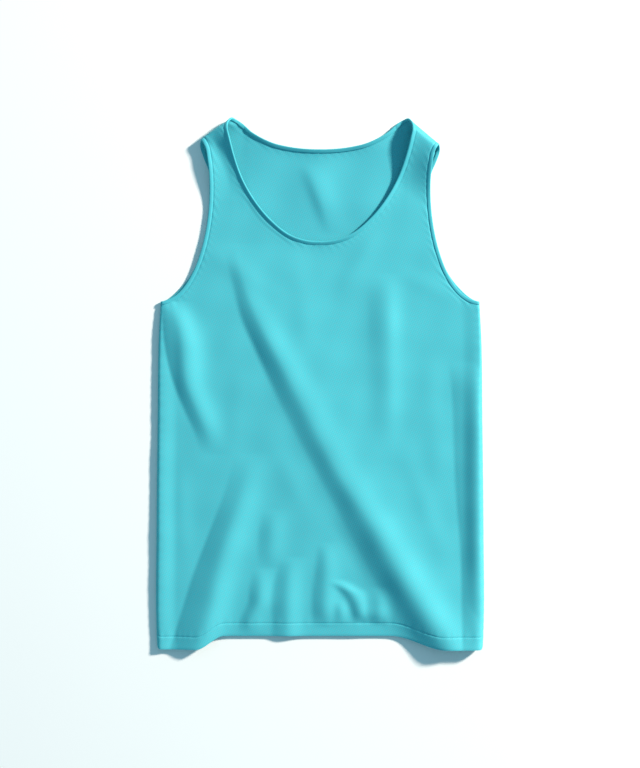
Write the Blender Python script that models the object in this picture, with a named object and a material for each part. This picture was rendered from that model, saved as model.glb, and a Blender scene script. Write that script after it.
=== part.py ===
"""Running singlet, laid flat on its back.

Two panels of light knit are sewn at the shoulders and the sides, and bound round the neck and both
armholes with a narrow folded strip. The back panel lies flat on z = 0 and the front panel lies over it,
with the folds that it fell into. Metres, +Z up, +Y towards the neck, +X to the wearer's left.

Each panel is cut as a flat shape (X, Y) and then laid down: away from the seams a flat point keeps its
place in plan, and close to a side or shoulder seam the cloth rolls through a quarter turn, so that the
two panels meet edge to edge at half the height of the fold.
"""
import math

import bpy
import numpy as np

# ---------------------------------------------------------------- driving sizes, in metres
CLOTH = 0.0012              # thickness of the knit
HEM_CLOTH = 0.0020          # thickness where the hem is turned up
HEM_DEPTH = 0.0175          # depth of the turned-up hem
HEM_STEP = 0.0015           # length over which the hem's thickness fades
GAP = 0.0003                # space left between two pieces at a seam
BINDING_WIDTH = 0.0048
BINDING_THICK = 0.0022

HEM_Y = -0.3595             # level of the hem's corners
HEM_LIFT = 0.0180           # how far the middle of the front hem is drawn up
HEM_TURNS = ((-0.1680, 0.0380), (0.0950, 0.0750))    # x where the hem turns up and down, and the run
BACK_HEM_SHORT = 0.0015     # the back hem stays hidden under the front one
UNDERARM_Y = 0.1120
NECK_POINT = (0.1190, 0.3600)       # inner end of the shoulder fold, in plan
TIP_POINT = (0.1610, 0.3245)        # outer end of the shoulder fold, in plan
CHEST_HALF = 0.1495         # half width at the narrowest part of the armhole
CHEST_Y = 0.2700
ARMHOLE_FLARE = 0.0091      # how far the armhole runs outwards again, 56 mm above the narrowest part
ARMHOLE_FLARE_RUN = 0.0560
ARMHOLE_STEP = 0.0150       # the armhole's upper part is drawn through points this far apart
BACK_STRAP_REACH = 0.0073   # how far the back strap shows outside the front one
BACK_STRAP_FROM_Y, BACK_STRAP_FADE = 0.2780, 0.0350
BACK_UNDERARM_REACH = 0.0035
BACK_UNDERARM_SHARE = 0.55  # share of the lower armhole along which the back shows
BACK_CURL = (0.0048, 0.0052, 0.3650)    # curl of the bound neck edge: height, reach, level where it ends
FRONT_CURL = (0.0030, 0.0050, 0.3580)
CURL_FADE = 0.0300                      # and the run over which it ends
CURL_HALF, CURL_START_Y, CURL_EDGE_FADE = 0.1350, 0.2900, 0.0200     # the back's ends under the strap
RIGHT_TIP_LIFT = 0.0060     # the wearer's right shoulder tip lies this much nearer the top
TIP_LIFT_FROM, TIP_LIFT_RUN = (0.1050, 0.2400), (0.0550, 0.0800)     # in x and y, and over these runs
HEM_CORNER = 0.0085         # radius of the hem's rounded corners

# Where the finished edges pass over the shoulder fold: (along the fold from the neck, across it).
NECK_OVER_FOLD = (  # along, across
    (0.0152, -0.0150), (0.0087, -0.0073), (0.0010, 0.0000), (-0.0036, 0.0114), (-0.0067, 0.0235),
)
ARMHOLE_ON_FOLD = (0.0560, 0.0000)
STRAP_MIDDLE = (0.0300, 0.0000)

SHOULDER_SEAM_Z = 0.0098
SHOULDER_ROLL = 0.0095      # radius of the fold at the shoulder
SIDE_SEAM_Z = 0.0032
BACK_SIDE_ROLL = 0.0032
FRONT_REST_Z = 0.0046       # height of the front panel's upper face where it lies flat
STRAP_RISE_LENGTH = 0.0780  # the front strap climbs to the shoulder fold over this length
SIDE_RISE_LENGTH = 0.0235   # the front rises to the roll at the side over this width
SIDE_RISE_FADE = 0.1200     # and less and less over this height below the narrowest part
ROLL_TOP_Y = UNDERARM_Y + 0.0600    # the cloth doesn't roll at the sides above this level
NECK_DIP = 0.0012           # the front lies this much lower round the bottom of its neck
NECK_DIP_HALF, NECK_DIP_RUN = 0.0600, 0.0400

# Half width of the garment in plan at the side seam.
SIDE_LINE = (  # y, half_width
    (-0.3600, 0.2206), (-0.3300, 0.2218), (-0.2000, 0.2218), (-0.0500, 0.2202),
    (0.0700, 0.2184), (0.1120, 0.2160),
)

# Radius of the roll where the front panel turns down to the side seam.
SIDE_ROLL = (  # y, left, right
    (-0.3600, 0.0050, 0.0060), (-0.2000, 0.0050, 0.0060), (-0.0500, 0.0042, 0.0050),
    (0.0500, 0.0036, 0.0036), (0.1120, 0.0027, 0.0027),
)

# Front neckline in plan, right half, from its lowest point to the shoulder.
FRONT_NECK = (  # x, y
    (0.0000, 0.1932), (0.0200, 0.1951), (0.0400, 0.2020), (0.0650, 0.2212), (0.0914, 0.2535),
    (0.1042, 0.2765), (0.1166, 0.3103), (0.1227, 0.3343),
)
NECK_BEYOND = (0.1600, 0.4810)      # the front neckline run on straight, to measure from

# Back neckline in plan, right half, from its middle to the shoulder.
BACK_NECK = (  # x, y
    (0.0000, 0.3184), (0.0200, 0.3191), (0.0427, 0.3220), (0.0617, 0.3264), (0.0800, 0.3345),
    (0.0930, 0.3424), (0.1022, 0.3505),
)

# Folds of the front panel, named as seen from above: -X is left. Each row is a section across the
# crest: its level, where the crest is, how high it stands, how far its left and right flanks reach, and
# how sharply its left flank is creased, from 0 for a soft bell to 1 for a straight ramp that ends in a
# crease.
DIAGONAL_FOLD = (  # y, crest_x, height, left, right, crease
    (-0.3600, 0.1770, 0.0160, 0.0355, 0.0280, 0.0), (-0.3200, 0.1511, 0.0164, 0.0355, 0.0280, 0.0),
    (-0.2790, 0.1247, 0.0156, 0.0335, 0.0280, 0.1), (-0.1980, 0.0773, 0.0118, 0.0305, 0.0260, 0.2),
    (-0.1170, 0.0251, 0.0084, 0.0240, 0.0270, 0.3), (-0.0350, -0.0183, 0.0080, 0.0240, 0.0250, 0.4),
    (0.0460, -0.0610, 0.0084, 0.0205, 0.0220, 1.0), (0.0900, -0.0840, 0.0062, 0.0175, 0.0210, 1.0),
    (0.1300, -0.1000, 0.0034, 0.0130, 0.0200, 0.8), (0.1900, -0.1150, 0.0000, 0.0130, 0.0200, 0.0),
)
LOWER_LEFT_FOLD = (  # y, crest_x, height, left, right, crease
    (-0.3600, -0.1660, 0.0088, 0.0290, 0.0220, 1.0), (-0.3060, -0.1500, 0.0100, 0.0285, 0.0220, 1.0),
    (-0.2580, -0.1395, 0.0092, 0.0250, 0.0220, 1.0), (-0.2120, -0.1260, 0.0078, 0.0220, 0.0220, 1.0),
    (-0.1380, -0.1020, 0.0034, 0.0190, 0.0200, 0.7), (-0.0950, -0.0930, 0.0000, 0.0170, 0.0200, 0.5),
)
UPPER_LEFT_FOLD = (  # y, crest_x, height, left, right, crease
    (-0.0950, -0.1440, 0.0000, 0.0130, 0.0180, 0.6), (-0.0700, -0.1506, 0.0024, 0.0135, 0.0180, 0.8),
    (-0.0390, -0.1635, 0.0044, 0.0145, 0.0180, 1.0), (-0.0050, -0.1770, 0.0058, 0.0150, 0.0190, 1.0),
    (0.0630, -0.1864, 0.0080, 0.0195, 0.0200, 1.0), (0.0900, -0.1930, 0.0056, 0.0160, 0.0180, 1.0),
    (0.1120, -0.1990, 0.0000, 0.0120, 0.0160, 1.0),
)
RIGHT_EDGE_FOLD = (  # y, crest_x, height, left, right, crease
    (-0.3600, 0.2120, 0.0050, 0.0150, 0.0120, 1.0), (-0.2115, 0.2120, 0.0052, 0.0175, 0.0120, 1.0),
    (-0.1570, 0.2115, 0.0052, 0.0205, 0.0120, 1.0), (-0.0800, 0.2110, 0.0050, 0.0230, 0.0120, 1.0),
    (-0.0350, 0.2105, 0.0050, 0.0235, 0.0120, 1.0), (0.0000, 0.2095, 0.0034, 0.0245, 0.0120, 1.0),
    (0.0300, 0.2080, 0.0000, 0.0260, 0.0120, 1.0),
)
CHEST_FOLD = (  # y, crest_x, height, left, right, crease
    (-0.1100, 0.0940, 0.0000, 0.0200, 0.0180, 0.0), (-0.0300, 0.0920, 0.0024, 0.0200, 0.0160, 0.0),
    (0.0300, 0.0910, 0.0034, 0.0200, 0.0160, 0.1), (0.0900, 0.0910, 0.0042, 0.0200, 0.0160, 0.2),
    (0.1500, 0.0890, 0.0000, 0.0190, 0.0180, 0.0),
)
RIGHT_STRAP_FOLD = (  # y, crest_x, height, left, right, crease
    (0.2600, 0.1500, 0.0000, 0.0140, 0.0100, 0.0), (0.2850, 0.1500, 0.0010, 0.0140, 0.0100, 0.0),
    (0.3020, 0.1500, 0.0016, 0.0145, 0.0100, 0.0), (0.3180, 0.1520, 0.0010, 0.0140, 0.0100, 0.0),
    (0.3350, 0.1540, 0.0000, 0.0130, 0.0100, 0.0),
)
SLOW_SHARE, SLOW_REACH = 0.5, 0.085     # past its crest, half the diagonal fold falls away slowly
DIAGONAL_QUICK = tuple((y, crest, (1 - SLOW_SHARE) * height, left, right, crease)
                       for y, crest, height, left, right, crease in DIAGONAL_FOLD)
DIAGONAL_SLOW = tuple((y, crest, SLOW_SHARE * height, left, SLOW_REACH, crease)
                      for y, crest, height, left, right, crease in DIAGONAL_FOLD)
FOLDS = (DIAGONAL_QUICK, LOWER_LEFT_FOLD, UPPER_LEFT_FOLD, RIGHT_EDGE_FOLD, CHEST_FOLD, RIGHT_STRAP_FOLD)

# Hollow of the strap on the left: rows as above, but its crest lies this far below.
STRAP_HOLLOW = (  # y, lowest_x, depth, left, right, crease
    (0.2500, -0.1200, 0.0000, 0.0300, 0.0140, 0.0), (0.2750, -0.1270, 0.0016, 0.0320, 0.0140, 0.0),
    (0.2950, -0.1340, 0.0036, 0.0340, 0.0150, 0.0), (0.3100, -0.1405, 0.0058, 0.0360, 0.0165, 0.0),
    (0.3200, -0.1440, 0.0066, 0.0360, 0.0170, 0.0), (0.3310, -0.1460, 0.0040, 0.0360, 0.0170, 0.0),
    (0.3430, -0.1465, 0.0000, 0.0360, 0.0165, 0.0),
)
RAMP_REACH = 1.3            # a straight ramp is this much longer than the bell it replaces
CREST_ROUND = 0.3           # share of the ramp over which its crest is round

# Short puckers that stand above the middle of the hem.
PUCKERS = (  # crest_x, y, half_length, height, width
    (-0.0805, -0.2900, 0.0200, 0.0036, 0.0140), (-0.0655, -0.2080, 0.0240, 0.0026, 0.0160),
    (-0.0440, -0.2950, 0.0500, 0.0042, 0.0150), (0.0070, -0.2830, 0.0400, 0.0038, 0.0140),
    (0.0490, -0.2960, 0.0190, 0.0040, 0.0120), (0.0790, -0.3060, 0.0160, 0.0038, 0.0120),
)
PUCKER_LEFT, PUCKER_RIGHT = 0.8, 1.0    # shares of a pucker's width that its flanks reach

# ---------------------------------------------------------------- how finely the pieces are faceted
FRONT_TRUNK_ROWS = 29
FRONT_STEP = 0.0112         # width of a facet across the front panel
FRONT_CHEST_ROWS = 4        # rows between the underarm and the bottom of the front neck
FRONT_NECK_ROWS = 14        # rows from the bottom of the front neck to the shoulder roll
BACK_TRUNK_ROWS = 15
BACK_STEP = 0.0240
BACK_CHEST_ROWS = 10
BACK_NECK_ROWS = 8
ROLL_ROWS = 4               # facets in the quarter turn at a seam
STATION_BUNCHING = 1.10     # above 1 the armhole's facets crowd towards the underarm


# ---------------------------------------------------------------- small helpers
def through(rows, column, y):
    """Value of one column of a table at level y, as a smooth curve through the table's rows."""
    rows = sorted(rows)
    levels = np.array([row[0] for row in rows])
    values = np.array([row[column] for row in rows])
    slopes = np.gradient(values, levels)
    y = np.clip(y, levels[0], levels[-1])
    k = np.clip(np.searchsorted(levels, y) - 1, 0, len(levels) - 2)
    span = levels[k + 1] - levels[k]
    t = (y - levels[k]) / span
    return (values[k] * (1 + 2 * t) * (1 - t) ** 2 + values[k + 1] * t * t * (3 - 2 * t)
            + slopes[k] * span * t * (1 - t) ** 2 - slopes[k + 1] * span * t * t * (1 - t))


def ease(t):
    """Smooth step from 0 to 1 while t runs from 0 to 1."""
    t = np.clip(t, 0.0, 1.0)
    return t * t * (3 - 2 * t)


def spline(knots, count):
    """Dense points along a smooth curve (Catmull-Rom by chord length) through the knots."""
    knots = np.array(knots, dtype=float)
    chord = np.concatenate([[0.0], np.cumsum(np.linalg.norm(np.diff(knots, axis=0), axis=1))])
    along = np.linspace(0.0, chord[-1], count)
    columns = [through(list(zip(chord, knots[:, axis])), 1, along) for axis in range(knots.shape[1])]
    return np.stack(columns, axis=1)


def lengths_along(points):
    """Distance of each point from the first, along the line."""
    steps = np.linalg.norm(np.diff(points, axis=0), axis=1)
    return np.concatenate([[0.0], np.cumsum(steps)])


# ---------------------------------------------------------------- plan of the garment
neck_point = np.array(NECK_POINT)
fold_along = np.array(TIP_POINT) - neck_point
fold_along = fold_along / np.linalg.norm(fold_along)
fold_out = np.array([-fold_along[1], fold_along[0]])    # outwards, away from the garment
QUARTER = math.pi / 2
SHOULDER_ARC = QUARTER * SHOULDER_ROLL
flat_neck_point = neck_point + fold_out * (SHOULDER_ARC - SHOULDER_ROLL)    # before the cloth is rolled


def roll_radius(panel, side, y):
    """Radius of the turn at the side seam."""
    if panel == "back":
        return np.full_like(y, BACK_SIDE_ROLL)
    return np.where(side < 0, through(SIDE_ROLL, 1, y), through(SIDE_ROLL, 2, y))


def half_width(y):
    """Half width in plan, out to the side seam."""
    return through(SIDE_LINE, 1, y)


def flat_half_width(panel, side, y):
    """Half width of the cut cloth: the turn at the seam takes more cloth than it covers in plan."""
    return half_width(y) + (QUARTER - 1) * roll_radius(panel, side, y)


def fold_height(fold, x, y):
    """Height of one fold: a bell across its crest, or on the left a ramp as far as it is creased."""
    across = x - through(fold, 1, y)
    reach = np.where(across < 0, through(fold, 3, y), through(fold, 4, y))
    bell = np.exp(-(across / reach) ** 2)
    run = np.clip(np.abs(across) / (RAMP_REACH * reach), 0.0, 1.0)
    foot = math.hypot(1.0, CREST_ROUND)
    ramp = (foot - np.hypot(run, CREST_ROUND)) / (foot - CREST_ROUND)
    crease = np.where(across < 0, through(fold, 5, y), 0.0)
    return np.maximum(through(fold, 2, y), 0.0) * (bell + crease * (ramp - bell))


def neck_curl(rows, x, y, height, reach, top_y):
    """Rise beside a bound neckline, which dies away with the distance from it.

    That distance is the way down to the point from the line above it, over the line's own slant.
    """
    from_middle, step = np.abs(x), 0.0005
    level = through(rows, 1, from_middle)
    slant = (through(rows, 1, from_middle + step) - through(rows, 1, from_middle - step)) / (2 * step)
    distance = np.maximum(level - y, 0.0) / np.hypot(1.0, slant)
    return height * np.exp(-distance / reach) * ease((top_y - y) / CURL_FADE)


def front_top(x, y):
    """Height of the front panel's upper face in plan: rest height, strap, side rolls and folds."""
    neck_dip = NECK_DIP * np.exp(-(x / NECK_DIP_HALF) ** 2 - ((y - FRONT_NECK[0][1]) / NECK_DIP_RUN) ** 2)
    z = FRONT_REST_Z - neck_dip
    inset = -((np.abs(x) - neck_point[0]) * fold_out[0] + (y - neck_point[1]) * fold_out[1])
    climb = 0.5 + 0.5 * np.cos(math.pi * np.clip(inset / STRAP_RISE_LENGTH, 0.0, 1.0))
    z = z + (SHOULDER_SEAM_Z + SHOULDER_ROLL - z) * climb + fold_height(DIAGONAL_SLOW, x, y)
    side = np.sign(x)
    radius = roll_radius("front", side, y)
    inside = np.clip((half_width(y) - np.abs(x) - radius) / SIDE_RISE_LENGTH, 0.0, 1.0)
    lift = (0.5 + 0.5 * np.cos(math.pi * inside)) * ease((CHEST_Y - y) / SIDE_RISE_FADE)
    z = z + np.maximum(SIDE_SEAM_Z + radius - z, 0.0) * lift
    for fold in FOLDS:
        z = z + fold_height(fold, x, y)
    z = z - fold_height(STRAP_HOLLOW, x, y)
    for crest, level, half_length, height, width in PUCKERS:
        reach = width * np.where(x < crest, PUCKER_LEFT, PUCKER_RIGHT)
        z = z + height * np.exp(-((x - crest) / reach) ** 2 - ((y - level) / half_length) ** 2)
    return z + neck_curl((*FRONT_NECK, NECK_BEYOND), x, y, *FRONT_CURL)


def back_rise(x, y):
    """How far the back stands off the table: only along its neck edge, which curls up."""
    inside = ease((CURL_HALF - np.abs(x)) / CURL_EDGE_FADE) * ease((y - CURL_START_Y) / CURL_EDGE_FADE)
    return neck_curl(BACK_NECK, x, y, *BACK_CURL) * inside


def lay(panel, flat_x, flat_y):
    """Outer face of a panel: where each point of the cut cloth lies, as an array of (x, y, z)."""
    side = np.where(flat_x < 0, -1.0, 1.0)
    x, y = np.abs(flat_x), np.array(flat_y, dtype=float)
    turn = np.ones_like(x)
    # side seam
    radius = roll_radius(panel, side, y)
    arc = QUARTER * radius
    from_seam = flat_half_width(panel, side, y) - x
    angle = QUARTER * (1 - from_seam / arc)
    rolled = (from_seam < arc) & (y < ROLL_TOP_Y)
    x = np.where(rolled, half_width(y) - radius * (1 - np.sin(angle)), x)
    turn = np.where(rolled, np.cos(angle), turn)
    seam_z = np.full_like(x, SIDE_SEAM_Z)
    # shoulder seam
    from_fold = -((x - flat_neck_point[0]) * fold_out[0] + (y - flat_neck_point[1]) * fold_out[1])
    angle = QUARTER * (1 - from_fold / SHOULDER_ARC)
    over = (from_fold < SHOULDER_ARC) & ~rolled
    shift = SHOULDER_ROLL * (1 - np.sin(angle)) - from_fold + SHOULDER_ARC - SHOULDER_ROLL
    x = np.where(over, x - fold_out[0] * shift, x)
    y = np.where(over, y - fold_out[1] * shift, y)
    turn = np.where(over, np.cos(angle), turn)
    seam_z = np.where(over, SHOULDER_SEAM_Z, seam_z)
    rest = front_top(x * side, y) if panel == "front" else back_rise(x * side, y)
    z = seam_z + (rest - seam_z) * turn
    past_x, past_y = -x * side - TIP_LIFT_FROM[0], y - TIP_LIFT_FROM[1]
    tip_lift = RIGHT_TIP_LIFT * ease(past_x / TIP_LIFT_RUN[0]) * ease(past_y / TIP_LIFT_RUN[1])
    return np.stack([x * side, y + tip_lift, z], axis=-1)


def outward(panel, flat_x, flat_y):
    """Unit normals of a panel's outer face, from small steps on the cut cloth."""
    step = 0.0003
    side = np.where(flat_x < 0, -1.0, 1.0)
    across = lay(panel, flat_x + step * side, flat_y) - lay(panel, flat_x - step * side, flat_y)
    along = lay(panel, flat_x, flat_y + step) - lay(panel, flat_x, flat_y - step)
    normal = np.cross(across, along) * side[..., None]
    if panel == "back":
        normal = -normal
    return normal / np.linalg.norm(normal, axis=-1, keepdims=True)


# ---------------------------------------------------------------- edges of the cut cloth, right half
def to_sheet(panel, points):
    """Flat points near the shoulder as (along the fold, across it), front negative and back positive."""
    offset = np.array(points) - flat_neck_point
    along = offset @ fold_along
    across = offset @ fold_out
    return np.stack([along, across if panel == "front" else -across], axis=1)


def from_sheet(points):
    """Back from (along, across) to flat points of the panel on which they lie."""
    along, across = points[:, 0], points[:, 1]
    return flat_neck_point + along[:, None] * fold_along - np.abs(across)[:, None] * fold_out


def armhole_quarter(panel):
    """Lower armhole: a quarter of an ellipse from the side seam in to the narrowest part."""
    angle = QUARTER * np.linspace(0.0, 1.0, 900)
    seam = float(flat_half_width(panel, 1.0, np.array(UNDERARM_Y)))
    x = seam - (seam - CHEST_HALF) * np.sin(angle)
    y = CHEST_Y - (CHEST_Y - UNDERARM_Y) * np.cos(angle)
    if panel == "back":
        share = np.clip(angle / (BACK_UNDERARM_SHARE * QUARTER), 0.0, 1.0)
        y = y + BACK_UNDERARM_REACH * np.sin(math.pi * share) ** 2
    return to_sheet(panel, np.stack([x, y], axis=1))


def armhole_top(y):
    return CHEST_HALF + ARMHOLE_FLARE * ((y - CHEST_Y) / ARMHOLE_FLARE_RUN) ** 2


def neck_line():
    """Finished neck edge, from the front's lowest point over the shoulder to the back's middle.

    One knot past each middle keeps the line level there.
    """
    front = np.vstack([(-FRONT_NECK[1][0], FRONT_NECK[1][1]), FRONT_NECK])
    back = np.vstack([BACK_NECK[-2::-1], (-BACK_NECK[1][0], BACK_NECK[1][1])])
    knots = np.vstack([to_sheet("front", front), NECK_OVER_FOLD, to_sheet("back", back)])
    line = spline(knots, 3200)
    start, end = (np.argmin(np.linalg.norm(line - knots[place], axis=1)) for place in (1, -2))
    return np.vstack([knots[1], line[start + 1:end], knots[-2]])


def armhole_line():
    """Finished armhole edge, from the side seam in front over the shoulder to the side seam behind."""
    levels = CHEST_Y + ARMHOLE_STEP * np.arange(4)
    front = to_sheet("front", np.stack([armhole_top(levels), levels], axis=1))
    reach = BACK_STRAP_REACH * ease((levels - BACK_STRAP_FROM_Y) / BACK_STRAP_FADE)
    back = to_sheet("back", np.stack([armhole_top(levels) + reach, levels], axis=1))
    over = spline(np.vstack([front, [ARMHOLE_ON_FOLD], back[::-1]]), 1600)
    return np.vstack([armhole_quarter("front")[:-1], over, armhole_quarter("back")[-2::-1]])


def moved_in(line, distance):
    """A dense line moved sideways by distance, towards the cloth of the strap."""
    tangent = np.gradient(line, axis=0)
    tangent = tangent / np.linalg.norm(tangent, axis=1, keepdims=True)
    normal = np.stack([-tangent[:, 1], tangent[:, 0]], axis=1)
    middle = np.argmin(np.abs(line[:, 1]))
    if np.dot(normal[middle], np.array(STRAP_MIDDLE) - line[middle]) < 0:
        normal = -normal
    return line + distance * normal


def station_places(edge, panel, lower, bunch):
    """Places (float indices) on a dense line at which one panel has its rows.

    The first ones run from the panel's far end to the shoulder roll, the last ones through the roll to
    half a gap short of the seam.
    """
    place = np.arange(len(edge), dtype=float)
    across = edge[:, 1] if panel == "front" else -edge[:, 1]
    run = lengths_along(edge)
    if panel == "back":
        place, across, run = place[::-1], across[::-1], run[-1] - run[::-1]
    seam = np.argmax(across > -GAP / 2)
    place, across, run = place[:seam], across[:seam], run[:seam]
    start_of_roll = np.interp(-SHOULDER_ARC, across[seam // 2:], run[seam // 2:])
    shares = (np.arange(lower + 1) / lower) ** bunch
    lengths = np.concatenate([start_of_roll * shares,
                              np.linspace(start_of_roll, run[-1], ROLL_ROWS + 1)[1:]])
    return np.interp(lengths, run, place)


def picked(line, places):
    """Points of a dense line at float indices."""
    index = np.arange(len(line))
    return np.stack([np.interp(places, index, line[:, axis]) for axis in (0, 1)], axis=1)


EDGE_INSET = BINDING_WIDTH + GAP
LINES = {"neck": (neck_line, 1.0), "armhole": (armhole_line, STATION_BUNCHING)}


def stations(opening, panel, rows, distance):
    """Sheet points of one panel along an opening, moved in by distance, from its far end to the seam."""
    make, bunch = LINES[opening]
    line = make()
    places = station_places(moved_in(line, EDGE_INSET), panel, rows, bunch)
    return picked(moved_in(line, distance), places)


# ---------------------------------------------------------------- meshes
def hem_line(panel, x):
    """Level of the hem: low at both corners, drawn up in the middle."""
    (left_x, left_run), (right_x, right_run) = HEM_TURNS
    raised = ease((x - left_x) / left_run) - ease((x - right_x) / right_run)
    seam = flat_half_width(panel, np.sign(x), np.full_like(x, HEM_Y))
    from_corner = np.clip((seam - np.abs(x)) / HEM_CORNER, 0.0, 1.0)
    rounded = HEM_CORNER * (1 - np.sqrt(1 - (1 - from_corner) ** 2))
    short = BACK_HEM_SHORT if panel == "back" else 0.0
    return HEM_Y + HEM_LIFT * raised + rounded + short


def row_fractions(width, step, roll):
    """Places across a half row, 0 at its inner end and 1 at its outer end, closer at the outer roll."""
    if roll <= 0.0:
        return np.linspace(0.0, 1.0, max(4, round(width / step)) + 1)
    plain = np.linspace(0.0, 1.0 - roll / width, round((width - roll) / step) + 1)
    turned = np.linspace(1.0 - roll / width, 1.0, ROLL_ROWS + 1)[1:]
    return np.concatenate([plain, turned])


def trunk_row(panel, share, first_depth, step):
    """One row across the whole panel below the armholes, from the left seam to the right seam."""
    top = UNDERARM_Y - EDGE_INSET
    halves = []
    for side in (-1.0, 1.0):
        level = top if share >= 1.0 else HEM_Y + share * (top - HEM_Y)
        seam = float(flat_half_width(panel, side, np.array(level))) - GAP / 2
        roll = QUARTER * float(roll_radius(panel, side, np.array(level)))
        x = side * seam * row_fractions(seam, step, roll)
        base = hem_line(panel, x) + first_depth
        y = base + share * (top - base)
        seam_x = flat_half_width(panel, side, y) - GAP / 2
        x = x / seam * seam_x
        halves.append(np.stack([x, y], axis=1))
    return np.vstack([halves[0][:0:-1], halves[1]])


def half_row(inner, outer, side, step):
    """A straight row of the cut cloth from the centre or the neck to the armhole."""
    count = row_fractions(float(np.linalg.norm(outer - inner)), step, 0.0)
    points = inner + count[:, None] * (outer - inner)
    return points * np.array([side, 1.0])


class Cloth:
    """Flat points of a panel, each with its thickness, and the triangles between them."""

    def __init__(self):
        self.points, self.thickness, self.triangles, self.index = [], [], [], {}

    def add(self, row, thickness=CLOTH):
        numbers = []
        for x, y in row:
            key = (round(x, 7), round(y, 7))
            if key not in self.index:
                self.index[key] = len(self.points)
                self.points.append((x, y))
                self.thickness.append(thickness)
            numbers.append(self.index[key])
        return numbers

    def shares(self, row):
        """Where each point of a row lies between the row's ends, from 0 to 1."""
        x = np.array([self.points[n][0] for n in row])
        return (x - x[0]) / (x[-1] - x[0])

    def join(self, lower, upper):
        """Triangles between two rows that run from left to right, whatever their numbers of points."""
        low, high = self.shares(lower), self.shares(upper)
        i = j = 0
        while i < len(lower) - 1 or j < len(upper) - 1:
            can_low, can_high = i < len(lower) - 1, j < len(upper) - 1
            if can_low and (not can_high or low[i + 1] <= high[j + 1] + 1e-9):
                corners = (lower[i], lower[i + 1], upper[j])
                i += 1
            else:
                corners = (lower[i], upper[j + 1], upper[j])
                j += 1
            if len(set(corners)) == 3:
                self.triangles.append(corners)


def cut_panel(panel, trunk_rows, chest_rows, neck_rows, step):
    """The panel as rows of flat points from hem to shoulder, joined into triangles."""
    cloth = Cloth()
    rows = [trunk_row(panel, 0.0, 0.0, step), trunk_row(panel, 0.0, HEM_DEPTH, step)]
    rows += [trunk_row(panel, k / trunk_rows, HEM_DEPTH + HEM_STEP, step) for k in range(trunk_rows + 1)]
    numbers = []
    for k, row in enumerate(rows):
        numbers.append(cloth.add(row, HEM_CLOTH if k < 2 else CLOTH))
    for lower, upper in zip(numbers[:-1], numbers[1:]):
        cloth.join(lower, upper)
    neck = from_sheet(stations("neck", panel, neck_rows, EDGE_INSET))
    neck[0, 0] = 0.0
    arm = from_sheet(stations("armhole", panel, chest_rows + neck_rows, EDGE_INSET))
    centre_start = np.array([0.0, UNDERARM_Y - EDGE_INSET])
    centre = centre_start + (np.arange(1, chest_rows + 1) / chest_rows)[:, None] * (neck[0] - centre_start)
    inner = np.vstack([centre, neck[1:]])
    for side in (-1.0, 1.0):
        top_row = numbers[-1]
        middle = [k for k, n in enumerate(top_row) if abs(cloth.points[n][0]) < 1e-9][0]
        below = (top_row[middle:] if side > 0 else top_row[middle::-1])[:-ROLL_ROWS]
        for k in range(len(inner)):
            row = cloth.add(half_row(inner[k], arm[k + 1], side, step))
            if side > 0:
                cloth.join(below, row)
            else:
                cloth.join(below[::-1], row[::-1])
            below = row
    return cloth


def panel_mesh(panel, cloth):
    """Closed wall of cloth: outer face, inner face one thickness inside it, and the rim between."""
    flat = np.array(cloth.points)
    outer = lay(panel, flat[:, 0], flat[:, 1])
    inner = outer - outward(panel, flat[:, 0], flat[:, 1]) * np.array(cloth.thickness)[:, None]
    count = len(outer)
    faces, edges = [], {}
    for a, b, c in cloth.triangles:
        if panel == "back":
            a, b, c = a, c, b
        faces += [(a, b, c), (a + count, c + count, b + count)]
        for edge in ((a, b), (b, c), (c, a)):
            edges[edge] = edges.get(edge, 0) + 1
    for a, b in edges:
        if (b, a) not in edges:
            faces += [(b, a, a + count), (b, a + count, b + count)]
    return np.vstack([outer, inner]), faces


FRONT_DEPTH = CLOTH / 2                     # in front the strip is centred on the cloth
BACK_DEPTH = BINDING_THICK / 2 + 0.0001     # behind it lies level with the underside
END_TURNS = np.array([0.0, 0.35, 0.75])     # shares of the roll at which an armhole strip ends
STRIP_SECTION = (  # share of the width from the finished edge, share of half the thickness outwards
    (0.00, 0.0), (0.22, 1.0), (0.78, 1.0), (1.00, 0.0), (0.78, -1.0), (0.22, -1.0),
)


def strip_depth(panel, from_seam, arc):
    """How deep the strip's centre lies, blended from front to back across the turn at a seam."""
    middle = (FRONT_DEPTH + BACK_DEPTH) / 2
    far = FRONT_DEPTH if panel == "front" else BACK_DEPTH
    return middle + (far - middle) * ease(from_seam / arc)


def lift_from_cloth(panel, flat, from_seam, arc, outwards):
    """Points that lie a little outside or inside the cloth, above the given flat points."""
    depth = strip_depth(panel, from_seam, arc) - outwards * BINDING_THICK / 2
    return lay(panel, flat[:, 0], flat[:, 1]) - outward(panel, flat[:, 0], flat[:, 1]) * depth[:, None]


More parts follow.
